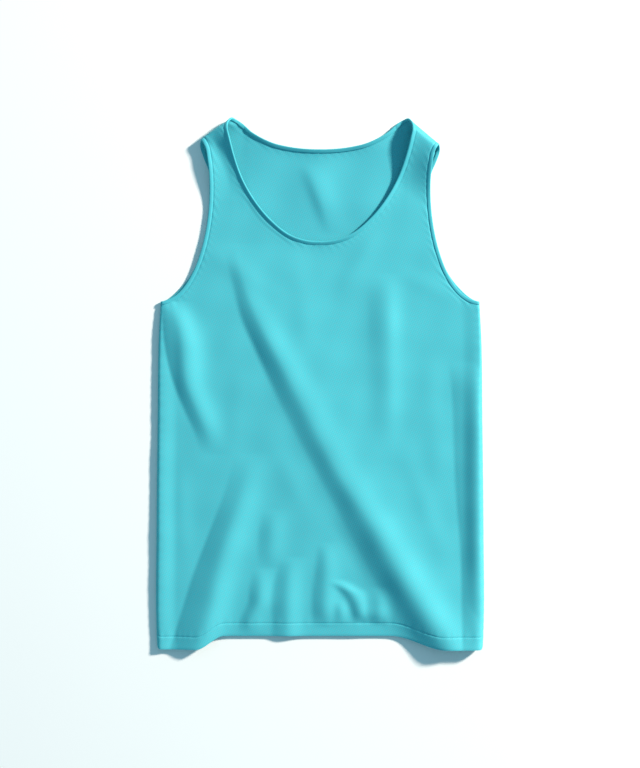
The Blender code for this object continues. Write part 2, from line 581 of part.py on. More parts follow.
def strip_line(opening, side, share, outwards):
    """One lengthwise line of a binding: its front stations from the far end, then its back ones."""
    front = stations(opening, "front", FRONT_CHEST_ROWS * (opening == "armhole") + FRONT_NECK_ROWS,
                     share * BINDING_WIDTH)
    back = stations(opening, "back", BACK_CHEST_ROWS * (opening == "armhole") + BACK_NECK_ROWS,
                    share * BINDING_WIDTH)
    sheet = np.vstack([front[1:], back[-2:0:-1]])
    flat = from_sheet(sheet)
    flat[:, 0] *= side
    over = [lift_from_cloth(panel, flat, np.abs(sheet[:, 1]), SHOULDER_ARC, outwards)
            for panel in ("front", "back")]
    middle = np.where(sheet[:, 1:] < 0, over[0], over[1])
    ends = []
    for panel, first in (("front", front[:1]), ("back", back[:1])):
        if opening == "neck":
            flat = from_sheet(first) * np.array([0.0, 1.0])
            away, arc = np.array([1.0]), 1.0
        else:
            level = np.full(3, UNDERARM_Y - share * BINDING_WIDTH)
            arc = QUARTER * roll_radius(panel, side, np.full(3, UNDERARM_Y))
            away = arc * END_TURNS
            flat = np.stack([side * (flat_half_width(panel, side, level) - away), level], axis=1)
        ends.append(lift_from_cloth(panel, flat, away, arc, outwards))
    return ends[0], middle, ends[1]


def ring_faces(sides, count):
    faces = []
    for k in range(count):
        after = (k + 1) % count
        for s in range(sides):
            t = (s + 1) % sides
            a, b = k * sides + s, k * sides + t
            c, d = after * sides + t, after * sides + s
            faces += [(a, b, c), (a, c, d)]
    return faces


def strip_mesh(opening, side):
    """Closed strip round one opening: every line of its section is worked out on the cloth itself."""
    lines = []
    for share, outwards in STRIP_SECTION:
        front_end, middle, back_end = strip_line(opening, side, share, outwards)
        if opening == "neck":
            mirrored = strip_line(opening, -side, share, outwards)[1][::-1]
            lines.append(np.vstack([front_end, middle, back_end, mirrored]))
        else:
            lines.append(np.vstack([front_end, middle, back_end[:0:-1]]))
    vertices = np.stack(lines, axis=1).reshape(-1, 3)
    return vertices, ring_faces(len(STRIP_SECTION), len(lines[0]))


# ---------------------------------------------------------------- objects
FRONT_COLOUR, BACK_COLOUR, KNIT_ROUGHNESS = (0.10, 0.60, 0.68), (0.09, 0.56, 0.64), 0.8
STRIP_COLOUR, STRIP_ROUGHNESS = (0.08, 0.52, 0.62), 0.7
STRIPS = (  # name, opening, side
    ("neck_binding", "neck", 1.0), ("armhole_binding_right", "armhole", -1.0),
    ("armhole_binding_left", "armhole", 1.0),
)


def cloth_material(name, colour, roughness):
    material = bpy.data.materials.new(name)
    material.use_nodes = True
    shader = material.node_tree.nodes["Principled BSDF"]
    shader.inputs["Base Color"].default_value = (*colour, 1.0)
    shader.inputs["Roughness"].default_value = roughness
    shader.inputs["Metallic"].default_value = 0.0
    return material


def add_object(name, vertices, faces, material):
    """A closed mesh object whose faces point outwards."""
    mesh = bpy.data.meshes.new(name)
    mesh.from_pydata([tuple(map(float, v)) for v in vertices], [], [tuple(map(int, f)) for f in faces])
    points = np.array(vertices)
    corners = points[np.array(faces)]
    volume = np.sum(corners[:, 0] * np.cross(corners[:, 1], corners[:, 2])) / 6
    if volume < 0:
        mesh.flip_normals()
    mesh.shade_smooth()
    mesh.set_sharp_from_angle(angle=math.radians(50))
    mesh.materials.append(material)
    piece = bpy.data.objects.new(name, mesh)
    bpy.context.collection.objects.link(piece)
    print(name, len(vertices), "points,", len(faces), "triangles,", round(abs(volume) * 1e6, 1), "cm3")
    return piece


def build():
    for old in list(bpy.data.objects):
        bpy.data.objects.remove(old, do_unlink=True)
    front = cut_panel("front", FRONT_TRUNK_ROWS, FRONT_CHEST_ROWS, FRONT_NECK_ROWS, FRONT_STEP)
    back = cut_panel("back", BACK_TRUNK_ROWS, BACK_CHEST_ROWS, BACK_NECK_ROWS, BACK_STEP)
    front_knit = cloth_material("front_knit", FRONT_COLOUR, KNIT_ROUGHNESS)
    back_knit = cloth_material("back_knit", BACK_COLOUR, KNIT_ROUGHNESS)
    add_object("front_panel", *panel_mesh("front", front), front_knit)
    add_object("back_panel", *panel_mesh("back", back), back_knit)
    for name, opening, side in STRIPS:
        strip_knit = cloth_material(name + "_knit", STRIP_COLOUR, STRIP_ROUGHNESS)
        add_object(name, *strip_mesh(opening, side), strip_knit)


build()
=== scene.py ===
# %% [markdown]
# # A running singlet, laid flat on its back
# The real garment is two panels of light polyester knit, sewn at the shoulders and the sides, turned up
# at the hem, and bound round the neck and both armholes with a narrow folded strip. This lesson dresses
# the plain solids of the frame: each panel becomes a thin shell of cloth with its folds, each binding a
# rounded strip with its stitches, and every finish is a small node group.

# %% Load the frame
import math

import bpy
import numpy as np
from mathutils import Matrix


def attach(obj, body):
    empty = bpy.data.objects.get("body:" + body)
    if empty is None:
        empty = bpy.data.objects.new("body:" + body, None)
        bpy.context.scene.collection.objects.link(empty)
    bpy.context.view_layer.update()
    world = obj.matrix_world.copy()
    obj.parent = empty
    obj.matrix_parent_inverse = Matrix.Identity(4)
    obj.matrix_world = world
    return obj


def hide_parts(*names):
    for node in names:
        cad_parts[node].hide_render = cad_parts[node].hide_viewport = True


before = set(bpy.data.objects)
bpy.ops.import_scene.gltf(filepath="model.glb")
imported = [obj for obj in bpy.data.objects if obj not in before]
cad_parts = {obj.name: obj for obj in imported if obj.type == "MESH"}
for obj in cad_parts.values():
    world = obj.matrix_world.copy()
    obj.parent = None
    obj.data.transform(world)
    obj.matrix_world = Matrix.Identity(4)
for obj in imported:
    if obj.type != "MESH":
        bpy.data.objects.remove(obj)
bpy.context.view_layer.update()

# %% [markdown]
# ## Camera, floor and light
# The garment is seen from straight above, so the camera looks down and the neck points up in the frame.
# A long lens keeps the outline close to its plan. One broad lamp stands low beyond the wearer's left
# shoulder, because folds in cloth only show when light grazes them, and a bright pale room fills the
# shadows.

# %% Camera
FRAME_HEIGHT = 1.041        # metres of floor that the view's height covers
CLOTH_LEVEL = 0.005         # height at which that is true
LENS, SENSOR = 85.0, 36.0


def make_camera():
    data = bpy.data.cameras.new("camera_above")
    data.lens, data.sensor_width, data.sensor_fit = LENS, SENSOR, "AUTO"
    camera = bpy.data.objects.new("camera_above", data)
    camera.location = (0.0, 0.0, FRAME_HEIGHT * LENS / SENSOR + CLOTH_LEVEL)
    bpy.context.collection.objects.link(camera)
    bpy.context.scene.camera = camera
    return camera


camera = make_camera()
print("camera", round(camera.location.z, 2), "m above the garment")

# %% Lamp and room
KEY_AZIMUTH = math.radians(31)      # from +X towards +Y
KEY_ELEVATION = math.radians(27)
KEY_DISTANCE = 6.0
KEY_SIZE = 0.64
KEY_WATTS = 668.0
KEY_COLOUR = (1.0, 0.96, 0.91)
ROOM_COLOUR = (0.36, 0.75, 1.0)
ROOM_STRENGTH = 0.50


def make_light():
    data = bpy.data.lights.new("key_lamp", "AREA")
    data.shape, data.size, data.energy = "SQUARE", KEY_SIZE, KEY_WATTS
    data.color = KEY_COLOUR
    lamp = bpy.data.objects.new("key_lamp", data)
    level = KEY_DISTANCE * math.cos(KEY_ELEVATION)
    lamp.location = (level * math.cos(KEY_AZIMUTH), level * math.sin(KEY_AZIMUTH),
                     KEY_DISTANCE * math.sin(KEY_ELEVATION))
    lamp.rotation_mode = "QUATERNION"
    lamp.rotation_quaternion = lamp.location.to_track_quat("Z", "Y")
    bpy.context.collection.objects.link(lamp)
    world = bpy.data.worlds.new("pale_room")
    world.use_nodes = True
    background = world.node_tree.nodes["Background"]
    background.inputs["Color"].default_value = (*ROOM_COLOUR, 1.0)
    background.inputs["Strength"].default_value = ROOM_STRENGTH
    bpy.context.scene.world = world
    bpy.context.scene.view_settings.view_transform = "Standard"


make_light()
print("key lamp", round(math.degrees(KEY_ELEVATION)), "degrees above the floor")

# %% Floor
FLOOR_COLOUR = (1.0, 0.94, 0.87)
FLOOR_ROUGHNESS = 0.9
FLOOR_HALF, FLOOR_BELOW = 14.0, 0.0003      # wide, so that no low view sees its end


def make_floor():
    mesh = bpy.data.meshes.new("floor")
    corners = ((-1, -1), (1, -1), (1, 1), (-1, 1))
    mesh.from_pydata([(x * FLOOR_HALF, y * FLOOR_HALF, -FLOOR_BELOW) for x, y in corners], [],
                     [(0, 1, 2, 3)])
    material = bpy.data.materials.new("floor_paint")
    material.use_nodes = True
    shader = material.node_tree.nodes["Principled BSDF"]
    shader.inputs["Base Color"].default_value = (*FLOOR_COLOUR, 1.0)
    shader.inputs["Roughness"].default_value = FLOOR_ROUGHNESS
    mesh.materials.append(material)
    floor = bpy.data.objects.new("floor", mesh)
    bpy.context.collection.objects.link(floor)


make_floor()
print("floor", 2 * FLOOR_HALF, "m wide")

# %% [markdown]
# ## The plan of the garment
# Cloth is cut flat, so every surface here starts as flat points (X, Y) of the cut panel. The sizes below
# are those of the solids: the same hem, armholes, necklines and folds, so the shells lie where the
# solids do. Folds and tables say left and right as seen from above, -X and +X. The bindings are named for
# the wearer, whose left is +X.

# %% Sizes, in metres
CLOTH, HEM_CLOTH = 0.0012, 0.0020       # thickness, and where the hem is turned up
BINDING_WIDTH, BINDING_THICK = 0.0048, 0.0022
HEM_Y, UNDERARM_Y = -0.3595, 0.1120     # levels of the hem's corners and of the underarms
CHEST_HALF, CHEST_Y = 0.1495, 0.2700    # the narrowest part, and where the straps begin
NECK_POINT, TIP_POINT = (0.1190, 0.3600), (0.1610, 0.3245)      # both ends of the shoulder fold
SHOULDER_SEAM_Z, SHOULDER_ROLL = 0.0098, 0.0095
SIDE_SEAM_Z, BACK_SIDE_ROLL = 0.0032, 0.0032

SIDE_LINE = (  # y, half_width
    (-0.3600, 0.2206), (-0.3300, 0.2218), (-0.2000, 0.2218), (-0.0500, 0.2202),
    (0.0700, 0.2184), (0.1120, 0.2160),
)
SIDE_ROLL = (  # y, left, right
    (-0.3600, 0.0050, 0.0060), (-0.2000, 0.0050, 0.0060), (-0.0500, 0.0042, 0.0050),
    (0.0500, 0.0036, 0.0036), (0.1120, 0.0027, 0.0027),
)
FRONT_NECK = (  # x, y
    (0.0000, 0.1932), (0.0200, 0.1951), (0.0400, 0.2020), (0.0650, 0.2212), (0.0914, 0.2535),
    (0.1042, 0.2765), (0.1166, 0.3103), (0.1227, 0.3343),
)
NECK_BEYOND = (0.1600, 0.4810)      # the front neckline run on straight, to measure from
BACK_NECK = (  # x, y
    (0.0000, 0.3184), (0.0200, 0.3191), (0.0427, 0.3220), (0.0617, 0.3264), (0.0800, 0.3345),
    (0.0930, 0.3424), (0.1022, 0.3505),
)

print("cloth", CLOTH * 1000, "mm thick, bindings", BINDING_WIDTH * 1000, "mm wide")


# %% Smooth curves through tables
def through(rows, column, y):
    """One column of a table at level y: a cubic between neighbouring rows, with shared slopes."""
    rows = sorted(rows)
    levels = np.array([row[0] for row in rows])
    values = np.array([row[column] for row in rows])
    slopes = np.gradient(values, levels)
    y = np.clip(y, levels[0], levels[-1])
    k = np.clip(np.searchsorted(levels, y) - 1, 0, len(levels) - 2)
    span = levels[k + 1] - levels[k]
    t = (y - levels[k]) / span
    return (values[k] * (1 + 2 * t) * (1 - t) ** 2 + values[k + 1] * t * t * (3 - 2 * t)
            + slopes[k] * span * t * (1 - t) ** 2 - slopes[k + 1] * span * t * t * (1 - t))


def ease(t):
    """Smooth step: 0 below 0, 1 above 1, and 3tt - 2ttt between."""
    t = np.clip(t, 0.0, 1.0)
    return t * t * (3 - 2 * t)


def bell(x, reach):
    """Bell curve: 1 at nothing, 1/e at the reach, and soon nothing beyond."""
    return np.exp(-(x / reach) ** 2)


def lengths_along(points):
    steps = np.linalg.norm(np.diff(points, axis=0), axis=1)
    return np.concatenate([[0.0], np.cumsum(steps)])


def spline(knots, count):
    """Dense points on a smooth curve through the knots, by the lengths of the chords."""
    knots = np.array(knots, dtype=float)
    chord = lengths_along(knots)
    along = np.linspace(0.0, chord[-1], count)
    return np.stack([through(list(zip(chord, knots[:, axis])), 1, along) for axis in (0, 1)], axis=1)


print("half width at the waist", round(float(through(SIDE_LINE, 1, np.array(0.0))), 4), "m")

# %% [markdown]
# ## The folds
# Cloth that is put down on a table keeps a few large folds and many slight ones. Each large fold is a
# table: a row for each section across its crest, with a steep flank on one side and a long gentle one on
# the other. The slight ones are short straight creases, placed one by one, no two alike.

# %% Large folds of the front
DIAGONAL_FOLD = (  # y, crest_x, height, left, right, crease
    (-0.3600, 0.1770, 0.0160, 0.0355, 0.0280, 0.0), (-0.3200, 0.1511, 0.0164, 0.0355, 0.0280, 0.0),
    (-0.2790, 0.1247, 0.0156, 0.0335, 0.0280, 0.1), (-0.1980, 0.0773, 0.0118, 0.0305, 0.0260, 0.2),
    (-0.1170, 0.0251, 0.0084, 0.0240, 0.0270, 0.3), (-0.0350, -0.0183, 0.0080, 0.0240, 0.0250, 0.4),
    (0.0460, -0.0610, 0.0084, 0.0205, 0.0220, 1.0), (0.0900, -0.0840, 0.0062, 0.0175, 0.0210, 1.0),
    (0.1300, -0.1000, 0.0034, 0.0130, 0.0200, 0.8), (0.1900, -0.1150, 0.0000, 0.0130, 0.0200, 0.0),
)
LOWER_LEFT_FOLD = (  # y, crest_x, height, left, right, crease
    (-0.3600, -0.1660, 0.0088, 0.0290, 0.0220, 1.0), (-0.3060, -0.1500, 0.0100, 0.0285, 0.0220, 1.0),
    (-0.2580, -0.1395, 0.0092, 0.0250, 0.0220, 1.0), (-0.2120, -0.1260, 0.0078, 0.0220, 0.0220, 1.0),
    (-0.1380, -0.1020, 0.0034, 0.0190, 0.0200, 0.7), (-0.0950, -0.0930, 0.0000, 0.0170, 0.0200, 0.5),
)
UPPER_LEFT_FOLD = (  # y, crest_x, height, left, right, crease
    (-0.0950, -0.1440, 0.0000, 0.0130, 0.0180, 0.6), (-0.0700, -0.1506, 0.0024, 0.0135, 0.0180, 0.8),
    (-0.0390, -0.1635, 0.0044, 0.0145, 0.0180, 1.0), (-0.0050, -0.1770, 0.0058, 0.0150, 0.0190, 1.0),
    (0.0630, -0.1864, 0.0080, 0.0195, 0.0200, 1.0), (0.0900, -0.1930, 0.0056, 0.0160, 0.0180, 1.0),
    (0.1120, -0.1990, 0.0000, 0.0120, 0.0160, 1.0),
)
RIGHT_EDGE_FOLD = (  # y, crest_x, height, left, right, crease
    (-0.3600, 0.2120, 0.0050, 0.0150, 0.0120, 1.0), (-0.2115, 0.2120, 0.0052, 0.0175, 0.0120, 1.0),
    (-0.1570, 0.2115, 0.0052, 0.0205, 0.0120, 1.0), (-0.0800, 0.2110, 0.0050, 0.0230, 0.0120, 1.0),
    (-0.0350, 0.2105, 0.0050, 0.0235, 0.0120, 1.0), (0.0000, 0.2095, 0.0034, 0.0245, 0.0120, 1.0),
    (0.0300, 0.2080, 0.0000, 0.0260, 0.0120, 1.0),
)
CHEST_FOLD = (  # y, crest_x, height, left, right, crease
    (-0.1100, 0.0940, 0.0000, 0.0200, 0.0180, 0.0), (-0.0300, 0.0920, 0.0024, 0.0200, 0.0160, 0.0),
    (0.0300, 0.0910, 0.0034, 0.0200, 0.0160, 0.1), (0.0900, 0.0910, 0.0042, 0.0200, 0.0160, 0.2),
    (0.1500, 0.0890, 0.0000, 0.0190, 0.0180, 0.0),
)
RIGHT_STRAP_FOLD = (  # y, crest_x, height, left, right, crease
    (0.2600, 0.1500, 0.0000, 0.0140, 0.0100, 0.0), (0.2850, 0.1500, 0.0010, 0.0140, 0.0100, 0.0),
    (0.3020, 0.1500, 0.0016, 0.0145, 0.0100, 0.0), (0.3180, 0.1520, 0.0010, 0.0140, 0.0100, 0.0),
    (0.3350, 0.1540, 0.0000, 0.0130, 0.0100, 0.0),
)
SLOW_SHARE, SLOW_REACH = 0.5, 0.085     # past its crest, half the diagonal fold falls away slowly
DIAGONAL_QUICK = tuple((y, crest, (1 - SLOW_SHARE) * height, left, right, crease)
                       for y, crest, height, left, right, crease in DIAGONAL_FOLD)
DIAGONAL_SLOW = tuple((y, crest, SLOW_SHARE * height, left, SLOW_REACH, crease)
                      for y, crest, height, left, right, crease in DIAGONAL_FOLD)
FOLDS = (DIAGONAL_QUICK, LOWER_LEFT_FOLD, UPPER_LEFT_FOLD, RIGHT_EDGE_FOLD, CHEST_FOLD, RIGHT_STRAP_FOLD)

# Hollow of the strap on the left: rows as above, but its crest lies this far below.
STRAP_HOLLOW = (  # y, lowest_x, depth, left, right, crease
    (0.2500, -0.1200, 0.0000, 0.0300, 0.0140, 0.0), (0.2750, -0.1270, 0.0016, 0.0320, 0.0140, 0.0),
    (0.2950, -0.1340, 0.0036, 0.0340, 0.0150, 0.0), (0.3100, -0.1405, 0.0058, 0.0360, 0.0165, 0.0),
    (0.3200, -0.1440, 0.0066, 0.0360, 0.0170, 0.0), (0.3310, -0.1460, 0.0040, 0.0360, 0.0170, 0.0),
    (0.3430, -0.1465, 0.0000, 0.0360, 0.0165, 0.0),
)
BACK_FOLD = (  # y, crest_x, height, left, right, crease
    (0.2030, 0.0160, 0.0000, 0.0095, 0.0220, 0.0), (0.2200, 0.0100, 0.0014, 0.0095, 0.0220, 0.0),
    (0.2450, 0.0020, 0.0028, 0.0095, 0.0220, 0.0), (0.2765, -0.0095, 0.0020, 0.0100, 0.0220, 0.0),
    (0.2980, -0.0180, 0.0000, 0.0100, 0.0220, 0.0),
)

# %% Puckers above the middle of the hem
PUCKER_CREASE = 0.8
PUCKER_ROWS = (  # each row: y, crest_x, height, left, right
    ((-0.2500, -0.0790, 0.0000, 0.0092, 0.0140), (-0.2770, -0.0805, 0.0030, 0.0115, 0.0140),
     (-0.2980, -0.0830, 0.0040, 0.0115, 0.0140), (-0.3180, -0.0930, 0.0034, 0.0115, 0.0140),
     (-0.3400, -0.0960, 0.0000, 0.0115, 0.0140)),
    ((-0.2350, -0.0360, 0.0000, 0.0115, 0.0160), (-0.2600, -0.0420, 0.0036, 0.0138, 0.0160),
     (-0.2850, -0.0440, 0.0046, 0.0162, 0.0160), (-0.3200, -0.0440, 0.0044, 0.0162, 0.0160),
     (-0.3600, -0.0440, 0.0030, 0.0162, 0.0160)),
    ((-0.1700, -0.0620, 0.0000, 0.0123, 0.0160), (-0.2000, -0.0650, 0.0028, 0.0138, 0.0160),
     (-0.2230, -0.0665, 0.0022, 0.0138, 0.0160), (-0.2500, -0.0660, 0.0000, 0.0123, 0.0160)),
    ((-0.2150, 0.0080, 0.0000, 0.0092, 0.0140), (-0.2350, 0.0085, 0.0022, 0.0100, 0.0140),
     (-0.2620, 0.0080, 0.0032, 0.0123, 0.0150), (-0.2850, 0.0070, 0.0038, 0.0138, 0.0150),
     (-0.3100, 0.0070, 0.0036, 0.0138, 0.0150), (-0.3300, 0.0075, 0.0000, 0.0123, 0.0150)),
    ((-0.2660, 0.0220, 0.0000, 0.0092, 0.0110), (-0.2760, 0.0340, 0.0032, 0.0100, 0.0110),
     (-0.2860, 0.0450, 0.0036, 0.0108, 0.0145), (-0.2980, 0.0520, 0.0042, 0.0108, 0.0140),
     (-0.3120, 0.0555, 0.0038, 0.0100, 0.0130), (-0.3230, 0.0560, 0.0000, 0.0092, 0.0120)),
    ((-0.2920, 0.0280, 0.0000, 0.0062, 0.0080), (-0.3060, 0.0285, 0.0022, 0.0069, 0.0080),
     (-0.3170, 0.0290, 0.0016, 0.0069, 0.0080), (-0.3270, 0.0290, 0.0000, 0.0062, 0.0080)),
    ((-0.2760, 0.0760, 0.0000, 0.0108, 0.0120), (-0.2970, 0.0790, 0.0034, 0.0123, 0.0120),
     (-0.3140, 0.0800, 0.0040, 0.0123, 0.0120), (-0.3270, 0.0800, 0.0000, 0.0108, 0.0120)),
)
PUCKERS = tuple(tuple((*row, PUCKER_CREASE) for row in rows) for rows in PUCKER_ROWS)
print(len(FOLDS), "folds and", len(PUCKERS), "puckers")

# %% Slight creases of the front
CREASE_FADE = 0.3       # share of its length by which a crease fades past each end
CREASES = (  # x1, y1, x2, y2, height, width
    (-0.150, 0.180, -0.060, 0.120, 0.0008, 0.0140),
    (0.175, 0.120, 0.110, 0.150, 0.0007, 0.0130),
    (0.070, 0.195, 0.030, 0.130, 0.0006, 0.0120),
    (-0.030, 0.160, -0.020, 0.060, 0.0006, 0.0150),
    (0.150, 0.030, 0.158, -0.120, 0.0008, 0.0160),
    (0.120, -0.100, 0.165, -0.230, 0.0009, 0.0150),
    (-0.190, -0.120, -0.182, -0.240, 0.0007, 0.0120),
    (-0.060, -0.090, -0.020, -0.170, 0.0007, 0.0150),
    (0.020, -0.190, 0.060, -0.260, -0.0007, 0.0120),
    (-0.110, 0.020, -0.120, -0.090, 0.0007, 0.0150),
)


def crease_height(x, y):
    """Sum of short straight creases: a bell across each line, fading to nothing past both its ends."""
    z = np.zeros_like(x)
    for x1, y1, x2, y2, height, width in CREASES:
        length = math.hypot(x2 - x1, y2 - y1)
        along = ((x - x1) * (x2 - x1) + (y - y1) * (y2 - y1)) / length
        across = ((x - x1) * (y2 - y1) - (y - y1) * (x2 - x1)) / length
        fade = CREASE_FADE * length
        ends = ease((along + fade) / (2 * fade)) * ease((length + fade - along) / (2 * fade))
        z = z + height * ends * bell(across, width)
    return z


print(len(CREASES), "slight creases")

# %% Swells of the front
SWELLS = (  # turn_x, turn_y, start, height
    (61, 23, 0.7, 0.00022), (37, -71, 2.1, 0.00022), (19, 113, 4.0, 0.000132), (131, -41, 1.1, 0.00011),
)


def slight_swell(x, y):
    """Very low uneven swells: the sum of sine waves that cross at different angles."""
    return sum(height * np.sin(turn_x * x + turn_y * y + start) for turn_x, turn_y, start, height in SWELLS)


print("swells up to", round(sum(row[3] for row in SWELLS) * 1000, 2), "mm")

# %% [markdown]
# ## Laying the cut cloth down
# Away from the seams a flat point keeps its place in plan. Close to a side seam or to the shoulder the
# cloth rolls through a quarter turn, so front and back meet edge to edge at half the height of the fold.
# Working on the flat cut first means that a weave drawn on it follows every roll.

# %% Rolls at the seams
QUARTER = math.pi / 2
neck_point = np.array(NECK_POINT)
fold_along = np.array(TIP_POINT) - neck_point
fold_along = fold_along / np.linalg.norm(fold_along)
fold_out = np.array([-fold_along[1], fold_along[0]])
SHOULDER_ARC = QUARTER * SHOULDER_ROLL
flat_neck_point = neck_point + fold_out * (SHOULDER_ARC - SHOULDER_ROLL)


def roll_radius(panel, side, y):
    if panel == "back":
        return np.full_like(y, BACK_SIDE_ROLL)
    return np.where(side < 0, through(SIDE_ROLL, 1, y), through(SIDE_ROLL, 2, y))


def half_width(y):
    return through(SIDE_LINE, 1, y)


def flat_half_width(panel, side, y):
    return half_width(y) + (QUARTER - 1) * roll_radius(panel, side, y)


print("shoulder roll takes", round(SHOULDER_ARC * 1000, 1), "mm of cloth")

# %% Height of one fold, and of a neckline's curl
RAMP_REACH, CREST_ROUND = 1.3, 0.3      # a creased flank is a straight ramp with a round crest
CURL_FADE = 0.0300                      # the curl fades over this length below its top level
SLANT_STEP = 0.0005


def fold_height(fold, x, y):
    """One fold: a bell across its crest, or on the left a straight ramp as far as it is creased."""
    across = x - through(fold, 1, y)
    reach = np.where(across < 0, through(fold, 3, y), through(fold, 4, y))
    rounded = bell(across, reach)
    run = np.clip(np.abs(across) / (RAMP_REACH * reach), 0.0, 1.0)
    foot = math.hypot(1.0, CREST_ROUND)
    ramp = (foot - np.hypot(run, CREST_ROUND)) / (foot - CREST_ROUND)
    crease = np.where(across < 0, through(fold, 5, y), 0.0)
    return np.maximum(through(fold, 2, y), 0.0) * (rounded + crease * (ramp - rounded))


def neck_curl(rows, x, y, height, reach, top_y):
    """Rise beside a bound neckline: height * exp(-gap / reach). The gap is the way down to the point
    from the line above it, over the line's own slant."""
    from_middle = np.abs(x)
    after, before = (through(rows, 1, from_middle + step) for step in (SLANT_STEP, -SLANT_STEP))
    slant = (after - before) / (2 * SLANT_STEP)
    gap = np.maximum(through(rows, 1, from_middle) - y, 0.0) / np.hypot(1.0, slant)
    return height * np.exp(-gap / reach) * ease((top_y - y) / CURL_FADE)


crest_y, crest_x = np.array(DIAGONAL_FOLD[1][:2])
print("the diagonal fold rises", fold_height(DIAGONAL_FOLD, crest_x, crest_y).round(4), "m at", crest_y)

# %% Height of the front and of the back
FRONT_REST_Z = 0.0046                   # height of the front's upper face away from all folds
NECK_DIP, NECK_DIP_ACROSS, NECK_DIP_ALONG = 0.0012, 0.06, 0.04
STRAP_RISE_LENGTH = 0.0780              # the straps climb to the shoulder fold over this length
SIDE_FALL, SIDE_FALL_END = 0.0235, 0.12     # run of the fall inside the side rolls, and its end upwards
FRONT_CURL, BACK_CURL = (0.0030, 0.0050, 0.3580), (0.0048, 0.0052, 0.3650)     # height, reach, top level
BACK_BARE = ((0.200, 0.05), (0.125, 0.03), (0.345, 0.03))   # start and run: from below, side and above
BACK_SWELL, BACK_WAVES = 0.0011, ((58, 14, 1.2), (21, -33, 0.0))       # height; turn_x, turn_y, start
BACK_CURL_SIDE, BACK_CURL_START = (0.135, 0.02), (0.290, 0.02)


def front_top(x, y):
    """Upper face of the front in plan: rest height, climb to the shoulder, side rolls, then folds."""
    z = FRONT_REST_Z - NECK_DIP * bell(x, NECK_DIP_ACROSS) * bell(y - FRONT_NECK[0][1], NECK_DIP_ALONG)
    inset = -((np.abs(x) - neck_point[0]) * fold_out[0] + (y - neck_point[1]) * fold_out[1])
    climb = 0.5 + 0.5 * np.cos(math.pi * np.clip(inset / STRAP_RISE_LENGTH, 0.0, 1.0))
    z = z + (SHOULDER_SEAM_Z + SHOULDER_ROLL - z) * climb + fold_height(DIAGONAL_SLOW, x, y)
    radius = roll_radius("front", np.sign(x), y)
    inside = np.clip((half_width(y) - np.abs(x) - radius) / SIDE_FALL, 0.0, 1.0)
    lift = (0.5 + 0.5 * np.cos(math.pi * inside)) * ease((CHEST_Y - y) / SIDE_FALL_END)
    z = z + np.maximum(SIDE_SEAM_Z + radius - z, 0.0) * lift
    for fold in (*FOLDS, *PUCKERS):
        z = z + fold_height(fold, x, y)
    z = z - fold_height(STRAP_HOLLOW, x, y)
    z = z + neck_curl((*FRONT_NECK, NECK_BEYOND), x, y, *FRONT_CURL)
    return z + crease_height(x, y) + slight_swell(x, y)


def back_rise(x, y):
    """The back lies on the floor but for low soft swells where the neck leaves it bare."""
    (low, low_run), (side, side_run), (top, top_run) = BACK_BARE
    bare = ease((y - low) / low_run) * ease((side - np.abs(x)) / side_run) * ease((top - y) / top_run)
    slow, slower = (turn_x * x + turn_y * y + start for turn_x, turn_y, start in BACK_WAVES)
    z = bare * BACK_SWELL * (1 + np.sin(slow) * np.cos(slower))
    (side, side_run), (start, start_run) = BACK_CURL_SIDE, BACK_CURL_START
    curl = neck_curl(BACK_NECK, x, y, *BACK_CURL) * ease((side - np.abs(x)) / side_run)
    return z + fold_height(BACK_FOLD, x, y) + curl * ease((y - start) / start_run)


print("there the front stands", front_top(crest_x, crest_y).round(4), "m above the floor")

# %% Laying flat points down
SIDE_ROLL_END = 0.06                    # the side roll reaches no further than this above the underarm
TIP_LIFT, TIP_LIFT_X, TIP_LIFT_Y = 0.0060, (0.105, 0.055), (0.240, 0.080)    # size; start and run of each
NORMAL_STEP = 0.0003


def lay(panel, flat_x, flat_y):
    """Outer face of a panel. Near a seam, sine and cosine of the turned angle set how far in and how
    high a point lies; elsewhere x and y stay, and z is the panel's own height. Last, the tip of the
    wearer's right shoulder is drawn up a little in the plan."""
    side = np.where(flat_x < 0, -1.0, 1.0)
    x, y = np.abs(flat_x), np.array(flat_y, dtype=float)
    turn = np.ones_like(x)
    radius = roll_radius(panel, side, y)
    arc = QUARTER * radius
    from_seam = flat_half_width(panel, side, y) - x
    angle = QUARTER * (1 - from_seam / arc)
    rolled = (from_seam < arc) & (y < UNDERARM_Y + SIDE_ROLL_END)
    x = np.where(rolled, half_width(y) - radius * (1 - np.sin(angle)), x)
    turn = np.where(rolled, np.cos(angle), turn)
    from_fold = -((x - flat_neck_point[0]) * fold_out[0] + (y - flat_neck_point[1]) * fold_out[1])
    angle = QUARTER * (1 - from_fold / SHOULDER_ARC)
    over = (from_fold < SHOULDER_ARC) & ~rolled
    shift = SHOULDER_ROLL * (1 - np.sin(angle)) - from_fold + SHOULDER_ARC - SHOULDER_ROLL
    x = np.where(over, x - fold_out[0] * shift, x)
    y = np.where(over, y - fold_out[1] * shift, y)
    turn = np.where(over, np.cos(angle), turn)
    seam_z = np.where(over, SHOULDER_SEAM_Z, SIDE_SEAM_Z)
    rest = front_top(x * side, y) if panel == "front" else back_rise(x * side, y)
    (start_x, run_x), (start_y, run_y) = TIP_LIFT_X, TIP_LIFT_Y
    y = y + TIP_LIFT * ease((-x * side - start_x) / run_x) * ease((y - start_y) / run_y)
    return np.stack([x * side, y, seam_z + (rest - seam_z) * turn], axis=-1)


